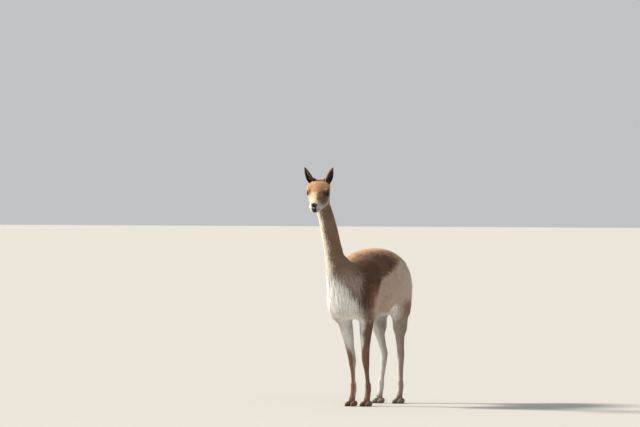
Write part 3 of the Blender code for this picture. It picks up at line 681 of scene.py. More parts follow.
def ear_surface(sign, rings=34, around=22, inset=0.0007):
    """An ear's cup in the head's axes: vertices, quads, and for each vertex its share along the
    ear, its share across from -1 to 1, and 1 on the inside."""
    root, tip = np.array(on_side(EAR_ROOT, sign)), np.array(EAR_TIPS[sign])
    axis = unit(tip - root)
    way_open = np.array(EAR_OPENING) * (sign, 1, 1)
    way_open = unit(way_open - axis * (way_open @ axis))
    side = np.cross(axis, way_open)
    vertices, marks = [], []
    for share, half, angle in ear_stations(rings):
        turn = math.radians(angle)
        radius = half / math.sin(min(turn, math.pi / 2)) - inset
        centre = root + (tip - root) * share + way_open * math.sin(math.pi * share) * EAR_BOW
        wall = EAR_WALL * (1 - 0.6 * share)
        for inner in (0, 1):
            for k in range(around + 1):
                across = (2 * k / around - 1) * (-1 if inner else 1)
                way = side * math.sin(turn * across) - way_open * math.cos(turn * across)
                thin = wall * (0.35 + 0.65 * math.cos(math.pi / 2 * across) ** 0.5)
                inward = max(radius - thin, radius * 0.45)
                vertices.append(centre + way * (inward if inner else radius))
                marks.append((share, across, inner))
    ring = 2 * (around + 1)
    quads = ring_quads(rings, ring)
    for start in (0, (rings - 1) * ring):
        for k in range(around):
            a, b = start + k, start + ring - 1 - k
            end = (a, b, b - 1, a + 1) if start == 0 else (a, a + 1, b - 1, b)
            quads = np.vstack([quads, end])
    vertices = np.array(vertices)
    if sign > 0:
        quads = quads[:, ::-1]
    return vertices, quads, np.array(marks)


# Meshes from arrays


def mesh_of(name, vertices, faces):
    """A mesh from vertices and several arrays of faces, one for each number of corners."""
    mesh = bpy.data.meshes.new(name)
    corners = np.concatenate([np.asarray(f).ravel() for f in faces]).astype(np.int32)
    totals = np.concatenate([np.full(len(f), f.shape[1]) for f in faces]).astype(np.int32)
    starts = np.concatenate([[0], np.cumsum(totals)[:-1]]).astype(np.int32)
    mesh.vertices.add(len(vertices))
    mesh.vertices.foreach_set("co", np.asarray(vertices, np.float32).ravel())
    mesh.loops.add(len(corners))
    mesh.loops.foreach_set("vertex_index", corners)
    mesh.polygons.add(len(totals))
    mesh.polygons.foreach_set("loop_start", starts)
    mesh.polygons.foreach_set("loop_total", totals)
    mesh.polygons.foreach_set("use_smooth", np.full(len(totals), True))
    mesh.update(calc_edges=True)
    mesh.validate()
    return mesh


def paint(mesh, colours):
    """Writes the markings, one colour for each vertex."""
    layer = mesh.color_attributes.new("markings", "FLOAT_COLOR", "POINT")
    rows = np.ones((len(colours), 4), np.float32)
    rows[:, :3] = colours
    layer.data.foreach_set("color", rows.ravel())


def piece_of(mesh, material):
    """An object for the mesh, placed in the frame, that rides on the one body."""
    mesh.transform(Matrix.Translation(SHIFT))
    mesh.materials.append(material)
    made = bpy.data.objects.new(mesh.name, mesh)
    bpy.context.scene.collection.objects.link(made)
    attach(made, "root")
    return made


def shift_of_frame():
    """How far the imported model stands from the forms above."""
    low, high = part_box("eye_left")
    return (low + high) / 2 - eye_frame(1).translation


SHIFT = shift_of_frame()


# Markings, as linear colours

SADDLE = (0.138, 0.067, 0.034)
# The saddle's colour where light falls on its top: a painted highlight
SADDLE_LIT_TOP = (0.50, 0.300, 0.155)
NECK_SIDE = (0.215, 0.134, 0.089)
NAPE = (0.105, 0.060, 0.040)
THROAT = (0.88, 0.79, 0.64)
BAND = (0.070, 0.036, 0.023)
FLANK = (0.500, 0.362, 0.280)
HIP = (0.510, 0.415, 0.352)
HAM_BROWN = (0.250, 0.130, 0.078)
WHITE = (0.88, 0.86, 0.81)
# The white before the thigh, brighter than the other white: its own white hair and painted light
STIFLE_SUNLIT_WHITE = (1.0, 0.985, 0.94)
SHOULDER_GREY = (0.320, 0.245, 0.200)
RUST = (0.34, 0.150, 0.068)
LEG_BROWN = (0.150, 0.078, 0.046)
LEG_PALE = (0.52, 0.45, 0.385)
LEG_SHADE = (0.34, 0.262, 0.210)
CROWN = (0.54, 0.290, 0.145)
FACE = (0.72, 0.565, 0.38)
FACE_BROWN = (0.215, 0.115, 0.066)
CHEEK = (0.58, 0.50, 0.42)
MUZZLE = (0.020, 0.017, 0.016)
CHIN = (0.82, 0.79, 0.74)
LID = (0.035, 0.026, 0.022)
EAR_BACK = (0.40, 0.22, 0.12)
EAR_INSIDE = (0.040, 0.029, 0.025)
EAR_HAIR = (0.92, 0.82, 0.64)
HOOF_HAIR = (0.20, 0.13, 0.09)
LASH_BLACK = (0.03, 0.022, 0.018)
IRIS = (0.018, 0.0085, 0.005)
IRIS_RIM = (0.006, 0.004, 0.003)
EYE_WHITE = (0.045, 0.030, 0.024)
PUPIL = (0.004, 0.004, 0.006)
EYE_BACK = (0.05, 0.035, 0.03)
HORN_COLOURS = ((0.020, 0.016, 0.014), (0.115, 0.088, 0.070))

# The photo's width runs over the ground by these shares of x and y.
SLANT = (0.9135, 0.4067)

# The lowest height of the brown saddle along the flank: (y, z)
SADDLE_EDGE = [
    (-0.40, 0.47),
    (-0.30, 0.47),
    (-0.27, 0.62),
    (-0.235, 0.685),
    (-0.185, 0.717),
    (-0.066, 0.750),
    (0.081, 0.803),
    (0.140, 0.818),
    (0.200, 0.800),
    (0.250, 0.768),
    (0.300, 0.735),
    (0.360, 0.715),
]
# The rear edge of the white patch before the thigh: heights, and places along the slant
STIFLE_EDGE = ((0.45, 0.50, 0.54, 0.58), (0.128, 0.144, 0.146, 0.118))
# The line of the back as seen along the slant, under which light falls on the top of the saddle: places
# along the slant, and heights
LIT_BACK_LINE = (
    (-0.144, -0.097, -0.050, -0.003, 0.044, 0.092, 0.139, 0.186),
    (0.813, 0.846, 0.862, 0.872, 0.874, 0.865, 0.837, 0.785),
)
# The middle of the dark corner ahead of the eye, in the head's axes: dark skin there, and painted shade
# of the lids and lashes
DARK_EYE_CORNER = (0.0345, -0.1130, 0.0345)
# Half the width of the dark nose and lips at heights in the head's axes
NOSE_SHAPE = (
    (-0.046, -0.040, -0.034, -0.027, -0.020, -0.013, -0.005, 0.002, 0.007),
    (0.0040, 0.0105, 0.0135, 0.0140, 0.0120, 0.0105, 0.0105, 0.0120, 0.0060),
)
# Where the white of the chest ends at a height: (z, x on the left side, x on the right side)
CHEST_EDGE = [
    (0.470, 0.113, -0.207),
    (0.511, 0.084, -0.190),
    (0.572, 0.069, -0.156),
    (0.628, 0.036, -0.132),
    (0.665, 0.012, -0.120),
    (0.700, -0.013, -0.112),
    (0.745, -0.048, -0.100),
]
# Where the dark band of the shoulder begins: heights, and places along the slant
BAND_EDGE = (
    (0.470, 0.545, 0.609, 0.660, 0.723, 0.768, 0.807),
    (-0.050, -0.057, -0.063, -0.063, -0.072, -0.121, -0.150),
)


def layered(base, colour, share):
    """The base colours under one more colour, by its share at each point."""
    return base + (np.array(colour) - base) * np.clip(share, 0, 1)[:, None]


def around_limb(both, stations):
    """The angle of folded points about a leg, from its front towards the outer side."""
    rows = smooth_stations(stations)
    order = np.argsort(rows[:, 2])
    middle = [np.interp(both[:, 2], rows[order, 2], rows[order, n]) for n in (0, 1)]
    return np.degrees(np.arctan2(both[:, 0] - middle[0], -(both[:, 1] - middle[1])))


def body_colours(points):
    """The markings of the trunk, neck, legs and tail."""
    x, y, z = points.T
    both = folded(points)
    outer = both[:, 0]
    wobble = noise(points, 0.030, 1) * 0.010 + noise(points, 0.011, 2) * 0.005
    colour = np.tile(np.array(FLANK), (len(points), 1))
    colour = layered(colour, HIP, ramp(-0.10, 0.22, y + wobble))
    colour = layered(colour, WHITE, ramp(0.53, 0.48, z + wobble * 2) * ramp(0.105, 0.060, outer))
    slant = outer * SLANT[0] + y * SLANT[1] + wobble * 0.4
    ham = ramp(0.150, 0.176, slant) * ramp(0.615, 0.560, z + wobble) * ramp(0.10, 0.16, y)
    colour = layered(colour, HAM_BROWN, ham * 0.80)
    # The white patch before the thigh: its own white hair, painted brighter than the other white to
    # stand in for sunlight on it
    stifle = np.interp(z, *STIFLE_EDGE)
    patch = ramp(0.100, 0.108, slant) * ramp(0.004, -0.004, slant - stifle)
    patch = patch * ramp(0.440, 0.455, z) * ramp(0.585, 0.570, z) * ramp(0.02, 0.06, y)
    colour = layered(colour, STIFLE_SUNLIT_WHITE, patch)
    rump = ramp(0.245, 0.305, y + wobble) * ramp(0.76, 0.66, z) * ramp(0.44, 0.52, z)
    colour = layered(colour, RUST, rump * 0.60)
    edge = np.interp(y, *np.array(SADDLE_EDGE).T)
    saddle = ramp(-0.012, 0.016, z + wobble * 1.4 - edge)
    colour = layered(colour, SADDLE, saddle)
    colour = layered(colour, BAND, saddle * 0.8 * ramp(0.84, 0.66, z) * ramp(-0.10, -0.22, y))
    # Painted shade: dark streaky patches on the saddle below the top of the back, where the tufts shade
    # one another
    shade_streaks = ramp(0.15, 0.75, noise(points, 0.055, 7) + 0.5 * noise(points, 0.020, 8))
    colour = layered(colour, BAND, saddle * 0.70 * shade_streaks * ramp(0.86, 0.81, z))
    rear = ramp(-0.024, 0.004, slant) * ramp(0.70, 0.64, z) * ramp(0.44, 0.50, z)
    colour = layered(colour, RUST, saddle * rear * 0.55)
    # Painted highlight: a golden band of light along the top of the saddle, just below the line of the
    # back as seen
    below = np.interp(x * SLANT[0] + y * SLANT[1], *LIT_BACK_LINE) - z + wobble * 1.6
    lit_top = ramp(0.046, 0.012, below) * ramp(-0.36, -0.30, y)
    colour = layered(colour, SADDLE_LIT_TOP, saddle * lit_top)
    # The base of the neck and the breast
    front = ramp(0.010, -0.016, slant + wobble * 1.2 - np.interp(z, *BAND_EDGE)) * ramp(-0.05, -0.15, y)
    mottle = 1 + 0.26 * noise(points, 0.024, 9) + 0.20 * noise(points, 0.010, 10)
    mottle = mottle * (1 - 0.30 * ramp(0.70, 0.60, z))
    colour = mixed(colour, SHOULDER_GREY * mottle[:, None], front[:, None] * 0.95)
    rows = smooth_stations(NECK)
    middle = [np.interp(z, rows[:, 2], rows[:, n]) for n in (0, 1)]
    turn = np.degrees(np.arctan2(x - middle[0], -(y - middle[1])))
    up = ramp(0.70, 0.80, z) * ramp(-0.30, -0.36, y)
    colour = layered(colour, NECK_SIDE, up)
    colour = layered(colour, NAPE, up * ramp(118, 165, np.abs(turn)) * 0.8)
    # A pale strip down the front of the neck, set towards the animal's right where light falls: partly
    # the throat's own paler hair and partly painted light
    throat_and_lit_strip = ramp(44, 30, np.abs(turn + 40 + wobble * 1000 * ramp(1.10, 0.80, z)))
    colour = layered(colour, THROAT, throat_and_lit_strip * ramp(0.62, 0.72, z) * ramp(-0.30, -0.36, y))
    edges = np.array(CHEST_EDGE)
    left, right = (np.interp(z, edges[:, 0], edges[:, n]) for n in (1, 2))
    chest = ramp(0.013, -0.011, np.maximum(x - left, right - x) + wobble * 1.8)
    chest = chest * ramp(0.775, 0.700, z + wobble * 1.5)
    chest = chest * ramp(-0.215, -0.262, y + wobble)
    colour = layered(colour, WHITE, chest)
    # The legs
    turn = around_limb(both, FORELEG) + wobble * 900
    fore = ramp(0.545, 0.47, z) * ramp(-0.02, -0.06, y)
    colour = layered(colour, LEG_PALE, fore)
    inner = ramp(28, -8, turn) * ramp(-175, -140, turn)
    colour = layered(colour, WHITE, fore * inner * ramp(0.24, 0.36, z))
    low = ramp(0.37, 0.28, z + wobble)
    stripe = ramp(-8, 24, turn + low * 46) * ramp(150, 110, turn)
    stripe = stripe * np.where(x > 0, 1, np.maximum(low, 0.7 * ramp(78, 105, turn)))
    colour = layered(colour, LEG_BROWN, fore * stripe * 0.92)
    # The rust over the lower stripe is the legs' own colour, and its greater share on the right foreleg
    # is painted light, for sunlight on that leg
    colour = layered(colour, RUST, fore * stripe * np.where(x > 0, 0.35, 0.75) * low)
    turn = around_limb(both, HIND_LEG) + wobble * 900
    hind = ramp(0.53, 0.45, z) * ramp(0.02, 0.06, y)
    colour = layered(colour, LEG_PALE, hind * 0.8)
    colour = layered(colour, LEG_SHADE, hind * ramp(-25, 25, turn) * np.where(x > 0, 0.8, 0.15))
    cream = np.where(x > 0, ramp(-20, -50, turn), ramp(75, 40, np.abs(turn - 35)))
    colour = layered(colour, WHITE, hind * cream * 0.85)
    hock = np.exp(-(((z - 0.27) / 0.05) ** 2)) * ramp(60, 130, np.abs(turn))
    colour = layered(colour, LEG_BROWN, hind * hock * 0.35)
    buttock = ramp(0.235, 0.285, y) * ramp(0.36, 0.44, z) * ramp(0.58, 0.50, z)
    colour = layered(colour, RUST, buttock * ramp(0.03, 0.07, outer) * 0.7)
    feet = ramp(0.075, 0.035, z)
    colour = layered(colour, HOOF_HAIR, feet * 0.75)
    tail = ramp(0.345, 0.375, y + wobble) * ramp(0.50, 0.56, z)
    colour = layered(colour, SADDLE, tail)
    return layered(colour, WHITE, tail * ramp(0.62, 0.56, z + wobble) * 0.6)


def head_colours(places):
    """The markings of the head in its own axes."""
    x, y, z = places.T
    both = folded(places)
    outer = both[:, 0]
    wobble = noise(places, 0.012, 3) * 0.004 + noise(places, 0.005, 4) * 0.002
    ahead = -y
    colour = np.tile(np.array(CHEEK), (len(places), 1))
    bridge = ramp(-0.006, 0.012, z + wobble)
    colour = layered(colour, FACE, bridge)
    eye = np.array(EYE_CENTRE)
    # The brown patch about the eye and down the face is the animal's own, and its greater strength on
    # the animal's left side is painted shade
    far = np.linalg.norm(both - (eye + (-0.004, -0.022, -0.018)), axis=1)
    patch = ramp(0.040, 0.022, far + wobble * 2) * mixed(0.30, 1.0, ramp(-0.01, 0.01, x))
    colour = layered(colour, FACE_BROWN, patch * 0.85)
    shaded = ramp(-0.004, 0.006, x + wobble) * ramp(0.200, 0.165, ahead) * ramp(-0.026, -0.006, z)
    colour = layered(colour, FACE_BROWN, shaded * ramp(0.07, 0.09, ahead) * 0.90)
    under = np.exp(-((np.linalg.norm(both - (eye + (0.006, -0.006, -0.026)), axis=1) / 0.012) ** 2))
    colour = layered(colour, RUST, under * 0.60)
    bend = mixed(-0.006, 0.011, ramp(-0.012, 0.012, x)) * (outer / 0.045) ** 2
    brow = 0.0435 + 0.10 * (ahead - 0.085) + bend + 0.004 * ramp(0.0, 0.02, x)
    ragged = wobble * 1.8 + 0.0035 * noise(places, 0.019, 11)
    crown = ramp(-0.0030, 0.0025, z - brow + ragged) * ramp(0.150, 0.125, ahead)
    behind = ramp(0.075, 0.055, ahead + wobble * 2) * ramp(-0.010, 0.020, z)
    colour = layered(colour, CROWN, np.maximum(crown, behind))
    behind = ramp(0.056, 0.044, ahead + wobble) * ramp(0.050, 0.070, z)
    colour = layered(colour, EAR_INSIDE, behind * 0.85)
    ear_foot = ramp(0.008, 0.001, tube_distance(both, EAR_BASE) + wobble)
    colour = layered(colour, EAR_INSIDE, ear_foot * ramp(0.058, 0.066, z) * 0.85)
    nape = ramp(0.030, -0.005, ahead + wobble)
    colour = layered(colour, NECK_SIDE, nape)
    throat = nape * ramp(-0.02, -0.05, z) * ramp(0.04, 0.02, outer)
    colour = layered(colour, THROAT, throat)
    # Painted shade: the animal's left side of the face below the eyes, darkened
    face_shade = ramp(0.0, 0.014, x + wobble) * ramp(0.035, 0.020, z) * ramp(0.04, 0.08, ahead)
    # Muzzle: dark lips and nose, and a white chin
    colour = layered(colour, CHIN, ramp(0.13, 0.17, ahead) * ramp(-0.010, -0.022, z + wobble))
    sides = ramp(0.195, 0.212, ahead) * ramp(0.010, 0.018, outer)
    colour = layered(colour, CHIN, sides * ramp(0.010, -0.006, z) * 0.8)
    # Painted shade on the animal's left side of the face
    colour = colour * (1 - 0.40 * face_shade)[:, None]
    reach = np.interp(z, *NOSE_SHAPE)
    nose = ramp(0.206, 0.216, ahead + wobble) * ramp(0.002, -0.002, outer + wobble - reach)
    nose = nose * ramp(0.012, 0.006, z + wobble) * ramp(-0.048, -0.043, z)
    lips = ramp(0.0034, 0.0014, np.abs(z + 0.0262 - 0.02 * (0.2 - ahead))) * ramp(0.172, 0.208, ahead)
    nostril = ramp(0.0030, 0.0010, tube_distance(both, NOSTRIL_SLIT))
    colour = layered(colour, MUZZLE, np.maximum(np.maximum(nose, lips * 0.6), nostril))
    # Painted highlight: a pale spot on the upper lip between the nose and the mouth, in the chin's
    # colour
    lip_highlight = np.hypot((x + 0.003) / 0.0042, (z + 0.0170) / 0.0034)
    colour = layered(colour, CHIN, ramp(1.15, 0.80, lip_highlight) * ramp(0.206, 0.216, ahead))
    near = np.linalg.norm(both - eye, axis=1)
    across, rise, ahead_of, _ = eye_places(both)
    margin = opening_field(across, rise)
    # The dark lids and the corner ahead of each eye are the animal's own dark skin, and their greater
    # reach on the animal's left side is painted shade of the lids and lashes
    rim = np.where(x > 0, 0.0112, 0.0076)
    lid = ramp(0.0, 0.0040, rim - margin) * ramp(0.030, 0.025, near) * (ahead_of > 0.003)
    corner_and_shade = np.linalg.norm(both - np.array(DARK_EYE_CORNER), axis=1)
    corner_and_shade = ramp(0.0195, 0.0135, corner_and_shade) * np.where(x > 0, 0.95, 0.20)
    return layered(colour, LID, np.maximum(lid, corner_and_shade))


def ear_streak(marks, left):
    """1 along the pale hair inside the ears: a streak up the right one, less in the left."""
    share, across, inner = marks.T
    middle = mixed(-0.26, -0.08, share)
    right = ramp(0.34, 0.20, np.abs(across - middle)) * ramp(0.97, 0.80, share)
    faint = 0.35 * ramp(0.24, 0.10, np.abs(across + 0.30)) * ramp(0.55, 0.35, share)
    return np.where(left, faint, right) * inner


def ear_colours(marks, left):
    """The markings of the ears: dark inside and brown behind, with orange tips, and painted light
    glowing orange through one edge of the left ear.
    """
    share, across, inner = marks.T
    colour = np.tile(np.array(EAR_BACK), (len(marks), 1))
    colour = layered(colour, CROWN, ramp(0.75, 0.95, share) * 0.8)
    inside = np.tile(np.array(EAR_INSIDE), (len(marks), 1))
    # Painted light: orange along one edge of the upper inside of the left ear, where light shines
    # through it
    inward = np.where(left, ramp(-0.12, -0.44, across) * ramp(0.35, 0.60, share), 0)
    outward = np.where(left, 0, ramp(-0.72, -0.92, across))
    tip = ramp(0.68, 0.86, share) * ramp(0.5, -0.2, across)
    inside = layered(inside, CROWN, np.maximum(np.maximum(inward, outward), tip) * 0.85)
    inside = layered(inside, EAR_HAIR, ear_streak(marks, left))
    return mixed(colour, inside, inner[:, None])


def head_shares(points):
    """1 where the head rules the surface, 0 on the neck and body."""
    found = np.zeros(len(points))
    high = np.flatnonzero(points[:, 2] > HEAD_LOWEST)
    places = to_head(points[high])
    gap = skull_base(folded(places)) - tube_distance(points[high], NECK)
    found[high] = ramp(0.006, -0.010, gap)
    return found


def skin_colours(points):
    """The markings at points in the room, on the body and the head alike."""
    colour = body_colours(points)
    head = head_shares(points)
    near = np.flatnonzero(head > 0)
    found = head_colours(to_head(points[near]))
    colour[near] = mixed(colour[near], found, head[near, None])
    return colour


# How the coat grows

# A row for each limb: the tuft's length, how far its tip stands off, its half width and the
# tufts on a square metre.
GROWTH = {
    "trunk": (0.0310, 0.0118, 0.0018, 72000),
    "neck": (0.0195, 0.0076, 0.0013, 165000),
    "head": (0.0060, 0.0013, 0.0006, 650000),
    "crown": (0.0190, 0.0095, 0.0010, 420000),
    "cheek": (0.0105, 0.0034, 0.0008, 500000),
    "muzzle": (0.0030, 0.0006, 0.0004, 650000),
    "thigh": (0.0140, 0.0034, 0.0012, 190000),
    "shin": (0.0095, 0.0026, 0.0008, 290000),
    "foot": (0.0070, 0.0015, 0.0007, 330000),
    "tail": (0.0300, 0.0045, 0.0012, 220000),
    "ear": (0.0060, 0.0011, 0.0005, 520000),
}
NECK_ROWS = smooth_stations(NECK)


def limb_shares(points):
    """How much the trunk, neck, head, legs and tail each rule at points on the skin."""
    found = limb_distances(points)
    bulk = [found[name] for name in ("trunk", "bib", "shoulder", "thigh", "ham")]
    head = np.full(len(points), FAR)
    high = np.flatnonzero(points[:, 2] > HEAD_LOWEST)
    head[high] = skull_base(folded(to_head(points[high])))
    legs = np.minimum(found["foreleg"], found["hindleg"])
    tail = tube_distance(points, TAIL)
    rows = np.stack([np.min(bulk, axis=0), found["neck"], head, legs, tail])
    weights = np.exp(-(rows - rows.min(axis=0)) / 0.010)
    return weights / weights.sum(axis=0)


def growth_at(points, shares):
    """The tufts' length, stand, half width and number on a square metre, a row each."""
    trunk, neck, head, legs, tail = shares
    rows = {name: np.array(values)[:, None] for name, values in GROWTH.items()}
    z = points[:, 2]
    leg = mixed(rows["shin"], rows["thigh"], ramp(0.28, 0.44, z))
    leg = mixed(rows["foot"], leg, ramp(0.06, 0.11, z))
    places = to_head(points)
    crown = ramp(-0.112, -0.092, places[:, 1]) * ramp(0.032, 0.050, places[:, 2])
    cheek = ramp(-0.130, -0.060, places[:, 1]) * (1 - crown)
    skull = mixed(rows["head"], rows["cheek"], cheek)
    # The crown lies flatter at its top.
    flat = np.ones((4, len(z)))
    flat[1] = mixed(1.0, 0.55, ramp(0.074, 0.092, places[:, 2]))
    skull = mixed(skull, rows["crown"] * flat, crown)
    skull = mixed(skull, rows["muzzle"], ramp(-0.198, -0.212, places[:, 1]))
    found = rows["trunk"] * trunk + rows["neck"] * neck + skull * head
    return found + leg * legs + rows["tail"] * tail


def lie_at(points, normals, shares, chance):
    """The way that the hair lies at points on the skin, as unit vectors along it."""
    trunk, neck, head, legs, tail = shares
    z = points[:, 2]
    down = -unit(np.gradient(NECK_ROWS[:, :3], axis=0))
    neck_way = np.stack([np.interp(z, NECK_ROWS[:, 2], down[:, n]) for n in range(3)], axis=1)
    places = to_head(points)
    back = np.ones((len(points), 3))
    back[:, 0] = places[:, 0] * 5
    back[:, 2] = mixed(-0.45, 0.35, ramp(-0.02, 0.03, places[:, 2]))
    head_way = back @ HEAD[:3, :3].T
    tail_way = np.stack([np.zeros(len(z)), ramp(0.69, 0.75, z), -1.1 + ramp(0.69, 0.75, z)], axis=1)
    way = trunk[:, None] * np.array((0, 0.74, -0.67)) + neck[:, None] * neck_way
    way += head[:, None] * head_way + legs[:, None] * np.array((0, 0.10, -1.0))
    way += tail[:, None] * tail_way
    way = unit(way - normals * (way * normals).sum(axis=1, keepdims=True))
    side = np.cross(way, normals)
    bend = 0.30 * noise(points, 0.035, 5) + 0.16 * noise(points, 0.012, 6)
    bend = bend * (0.4 + 0.6 * (trunk + neck)) + chance.normal(0, 0.13, len(points))
    return unit(way + side * bend[:, None])


def corner_normals(vertices, triangles):
    """The way that the surface faces at each vertex, and the area of each triangle."""
    a, b, c = (vertices[triangles[:, n]] for n in range(3))
    crossed = np.cross(b - a, c - a)
    normals = np.zeros_like(vertices)
    for n in range(3):
        for k in range(3):
            normals[:, k] += np.bincount(triangles[:, n], crossed[:, k], len(vertices))
    return unit(normals), np.linalg.norm(crossed, axis=1) / 2


def scattered(vertices, triangles, normals, areas, density, chance):
    """Roots spread over triangles by the density at their corners: places and normals."""
    weights = np.cumsum(areas * density[triangles].mean(axis=1))
    count = int(weights[-1])
    marks = (np.arange(count) + chance.random(count)) / count * weights[-1]
    found = np.minimum(np.searchsorted(weights, marks), len(triangles) - 1)
    a, b = chance.random(count), chance.random(count)
    over = a + b > 1
    a, b = np.where(over, 1 - a, a), np.where(over, 1 - b, b)
    parts = np.stack([1 - a - b, a, b], axis=1)[:, :, None]
    corners = triangles[found]
    places = (vertices[corners] * parts).sum(axis=1)
    return places, unit((normals[corners] * parts).sum(axis=1)), corners, parts


# How far the coat is shaded by the way that the skin faces under it
SOFTNESS = 0.72
# How high a blade's ridge stands, as a share of its half width
RIDGE = 0.32
# Half the size of a blade's patch on the bake map
PATCH_HALF = 0.0013


def blades(paths, sides, rises, halves, tones, roots_uv, facing):
    """Solid tapered blades with three sides. A path holds the middles of the rings and the tip.
    Returns the vertices, the faces and each vertex's shade, place on the bake map and normal."""
    count, rings = halves.shape
    per = 3 * rings + 1
    wide, ridge = halves[..., None] * sides, halves[..., None] * rises * RIDGE
    middles = paths[:, :rings]
    ring = np.stack([middles - wide, middles + wide, middles + ridge], axis=2)
    vertices = np.concatenate([ring.reshape(count, -1, 3), paths[:, rings:]], axis=1)
    shades = np.repeat(tones[:, :rings], 3, axis=1)
    shades = np.concatenate([shades, tones[:, rings:]], axis=1)
    steps = np.arange(rings) / rings
    across = np.tile([-PATCH_HALF, PATCH_HALF, 0.0], rings)
    along = np.repeat(steps, 3) * 2 * PATCH_HALF - PATCH_HALF - np.tile([0.0, 0.0, 0.0004], rings)
    spots = np.stack([np.append(across, 0.0), np.append(along, PATCH_HALF)], axis=1)
    places = roots_uv[:, None, :] + spots
    quads, tips = [], []
    for i, j in ((0, 1), (1, 2), (2, 0)):
        for n in range(rings - 1):
            a, b = 3 * n, 3 * n + 3
            quads.append((a + j, a + i, b + i, b + j))
        tips.append((3 * rings - 3 + j, 3 * rings - 3 + i, 3 * rings))
    tips.append((0, 1, 2))
    starts = (np.arange(count) * per)[:, None, None]
    quads = (starts + np.array(quads)).reshape(-1, 4)
    tips = (starts + np.array(tips)).reshape(-1, 3)
    own = np.stack([-sides, sides, rises], axis=2) * (1 - SOFTNESS)
    normals = unit(own + facing[:, None, None] * SOFTNESS).reshape(count, -1, 3)
    normals = np.concatenate([normals, facing[:, None]], axis=1).reshape(-1, 3)
    vertices = vertices.reshape(-1, 3)
    return vertices, [quads, tips], shades.reshape(-1), places.reshape(-1, 2), normals


# A long tuft has two rings below its tip, and a short one has a single ring. Each form gives the rings,
# their widths, and tones from root to tip, darker at the root: partly the hair's own colour and partly
# painted shade among the tufts.
LONG_TUFT = ((0.0, 0.42), (0.70, 1.0), (0.74, 0.98, 1.10))
SHORT_TUFT = ((0.0,), (1.0,), (0.80, 1.10))


def tuft_blades(roots, normals, ways, growth, chance, roots_uv, form=SHORT_TUFT):
    """Short tufts that rise from the skin and bend over along the lie."""
    rings, widths, shades = form
    length, stand, half = growth[:3]
    count = len(roots)
    length = length * chance.uniform(0.72, 1.22, count)
    stand = stand * chance.uniform(0.55, 1.15, count)
    half = half * chance.uniform(0.75, 1.25, count)
    side = np.cross(ways, normals)
    curl = chance.normal(0, 0.10, count) * length
    paths = []
    for share in (*rings, 1.0):
        rise = stand * (1 - (1 - share) ** 1.8) - 0.0010 * (1 - share)
        run = np.sqrt(np.maximum(length**2 - stand**2, 0)) * share
        point = roots + ways * run[:, None] + normals * rise[:, None]
        point = point + side * (curl * share**2)[:, None]
        point[:, 2] = np.maximum(point[:, 2], half + FLOOR_GAP)
        paths.append(point)
    sides = np.repeat(side[:, None], len(rings), axis=1)
    tilt = unit(normals - ways * 0.4)
    rises = np.repeat(tilt[:, None], len(rings), axis=1)
    halves = half[:, None] * np.array(widths)
    patchy = 1 + 0.09 * noise(roots, 0.050, 8) + 0.08 * noise(roots, 0.017, 9)
    patchy = patchy + 0.09 * noise(roots, 0.0075, 12)
    tones = np.array(shades) * (patchy * chance.uniform(0.88, 1.10, count))[:, None]
    return blades(np.stack(paths, axis=1), sides, rises, halves, tones, roots_uv, normals)


def spread_map(around, along):
    """Places on a bake map from an angle share and a length, each filling the map."""
    found = np.stack([around, along], axis=1)
    low, high = found.min(axis=0), found.max(axis=0)
    return 0.01 + 0.98 * (found - low) / np.maximum(high - low, 1e-6)


def unwrapped(points, normals, limb):
    """The place of each root on an unwrap of its limb: round it, and along its profile."""
    if limb == "head":
        places, facing = to_head(points), normals @ HEAD[:3, :3]
        around = np.arctan2(facing[:, 0], facing[:, 2])
        return spread_map(around, places[:, 1] + 0.035 * np.arcsin(np.clip(facing[:, 1], -1, 1)))
    if limb == "trunk":
        around = np.arctan2(normals[:, 0], normals[:, 2])
        return spread_map(around, points[:, 1] + 0.12 * np.arcsin(np.clip(normals[:, 1], -1, 1)))
    around = np.arctan2(normals[:, 0], -normals[:, 1]) / math.tau
    if limb == "legs":
        around = around * 0.48 + 0.5 * (points[:, 0] > 0)
    return spread_map(around, points[:, 2] + 0.02 * np.arcsin(np.clip(normals[:, 2], -1, 1)))


# The most triangles in one piece of the coat, and the pieces that are made of long tufts
MOST_TRIANGLES = 188000
LONG_COATS = ("coat_back", "coat_flank", "coat_belly", "coat_neck")


def add_coat(name, shape, colours, material):
    """A coat piece from blades, with its markings and its bake map. The colours are a row for
    each vertex or for each blade, or one row for all."""
    vertices, faces, shades, places, normals = shape
    colours = np.repeat(colours, len(vertices) // len(colours), axis=0)
    mesh = mesh_of(name, vertices, faces)
    mesh.normals_split_custom_set_from_vertices(normals)
    paint(mesh, np.clip(colours * shades[:, None], 0, 1))
    corners = np.zeros(len(mesh.loops), np.int32)
    mesh.loops.foreach_get("vertex_index", corners)
    layer = mesh.uv_layers.new(name="OFBake")
    layer.data.foreach_set("uv", places[corners].astype(np.float32).ravel())
    return piece_of(mesh, material)


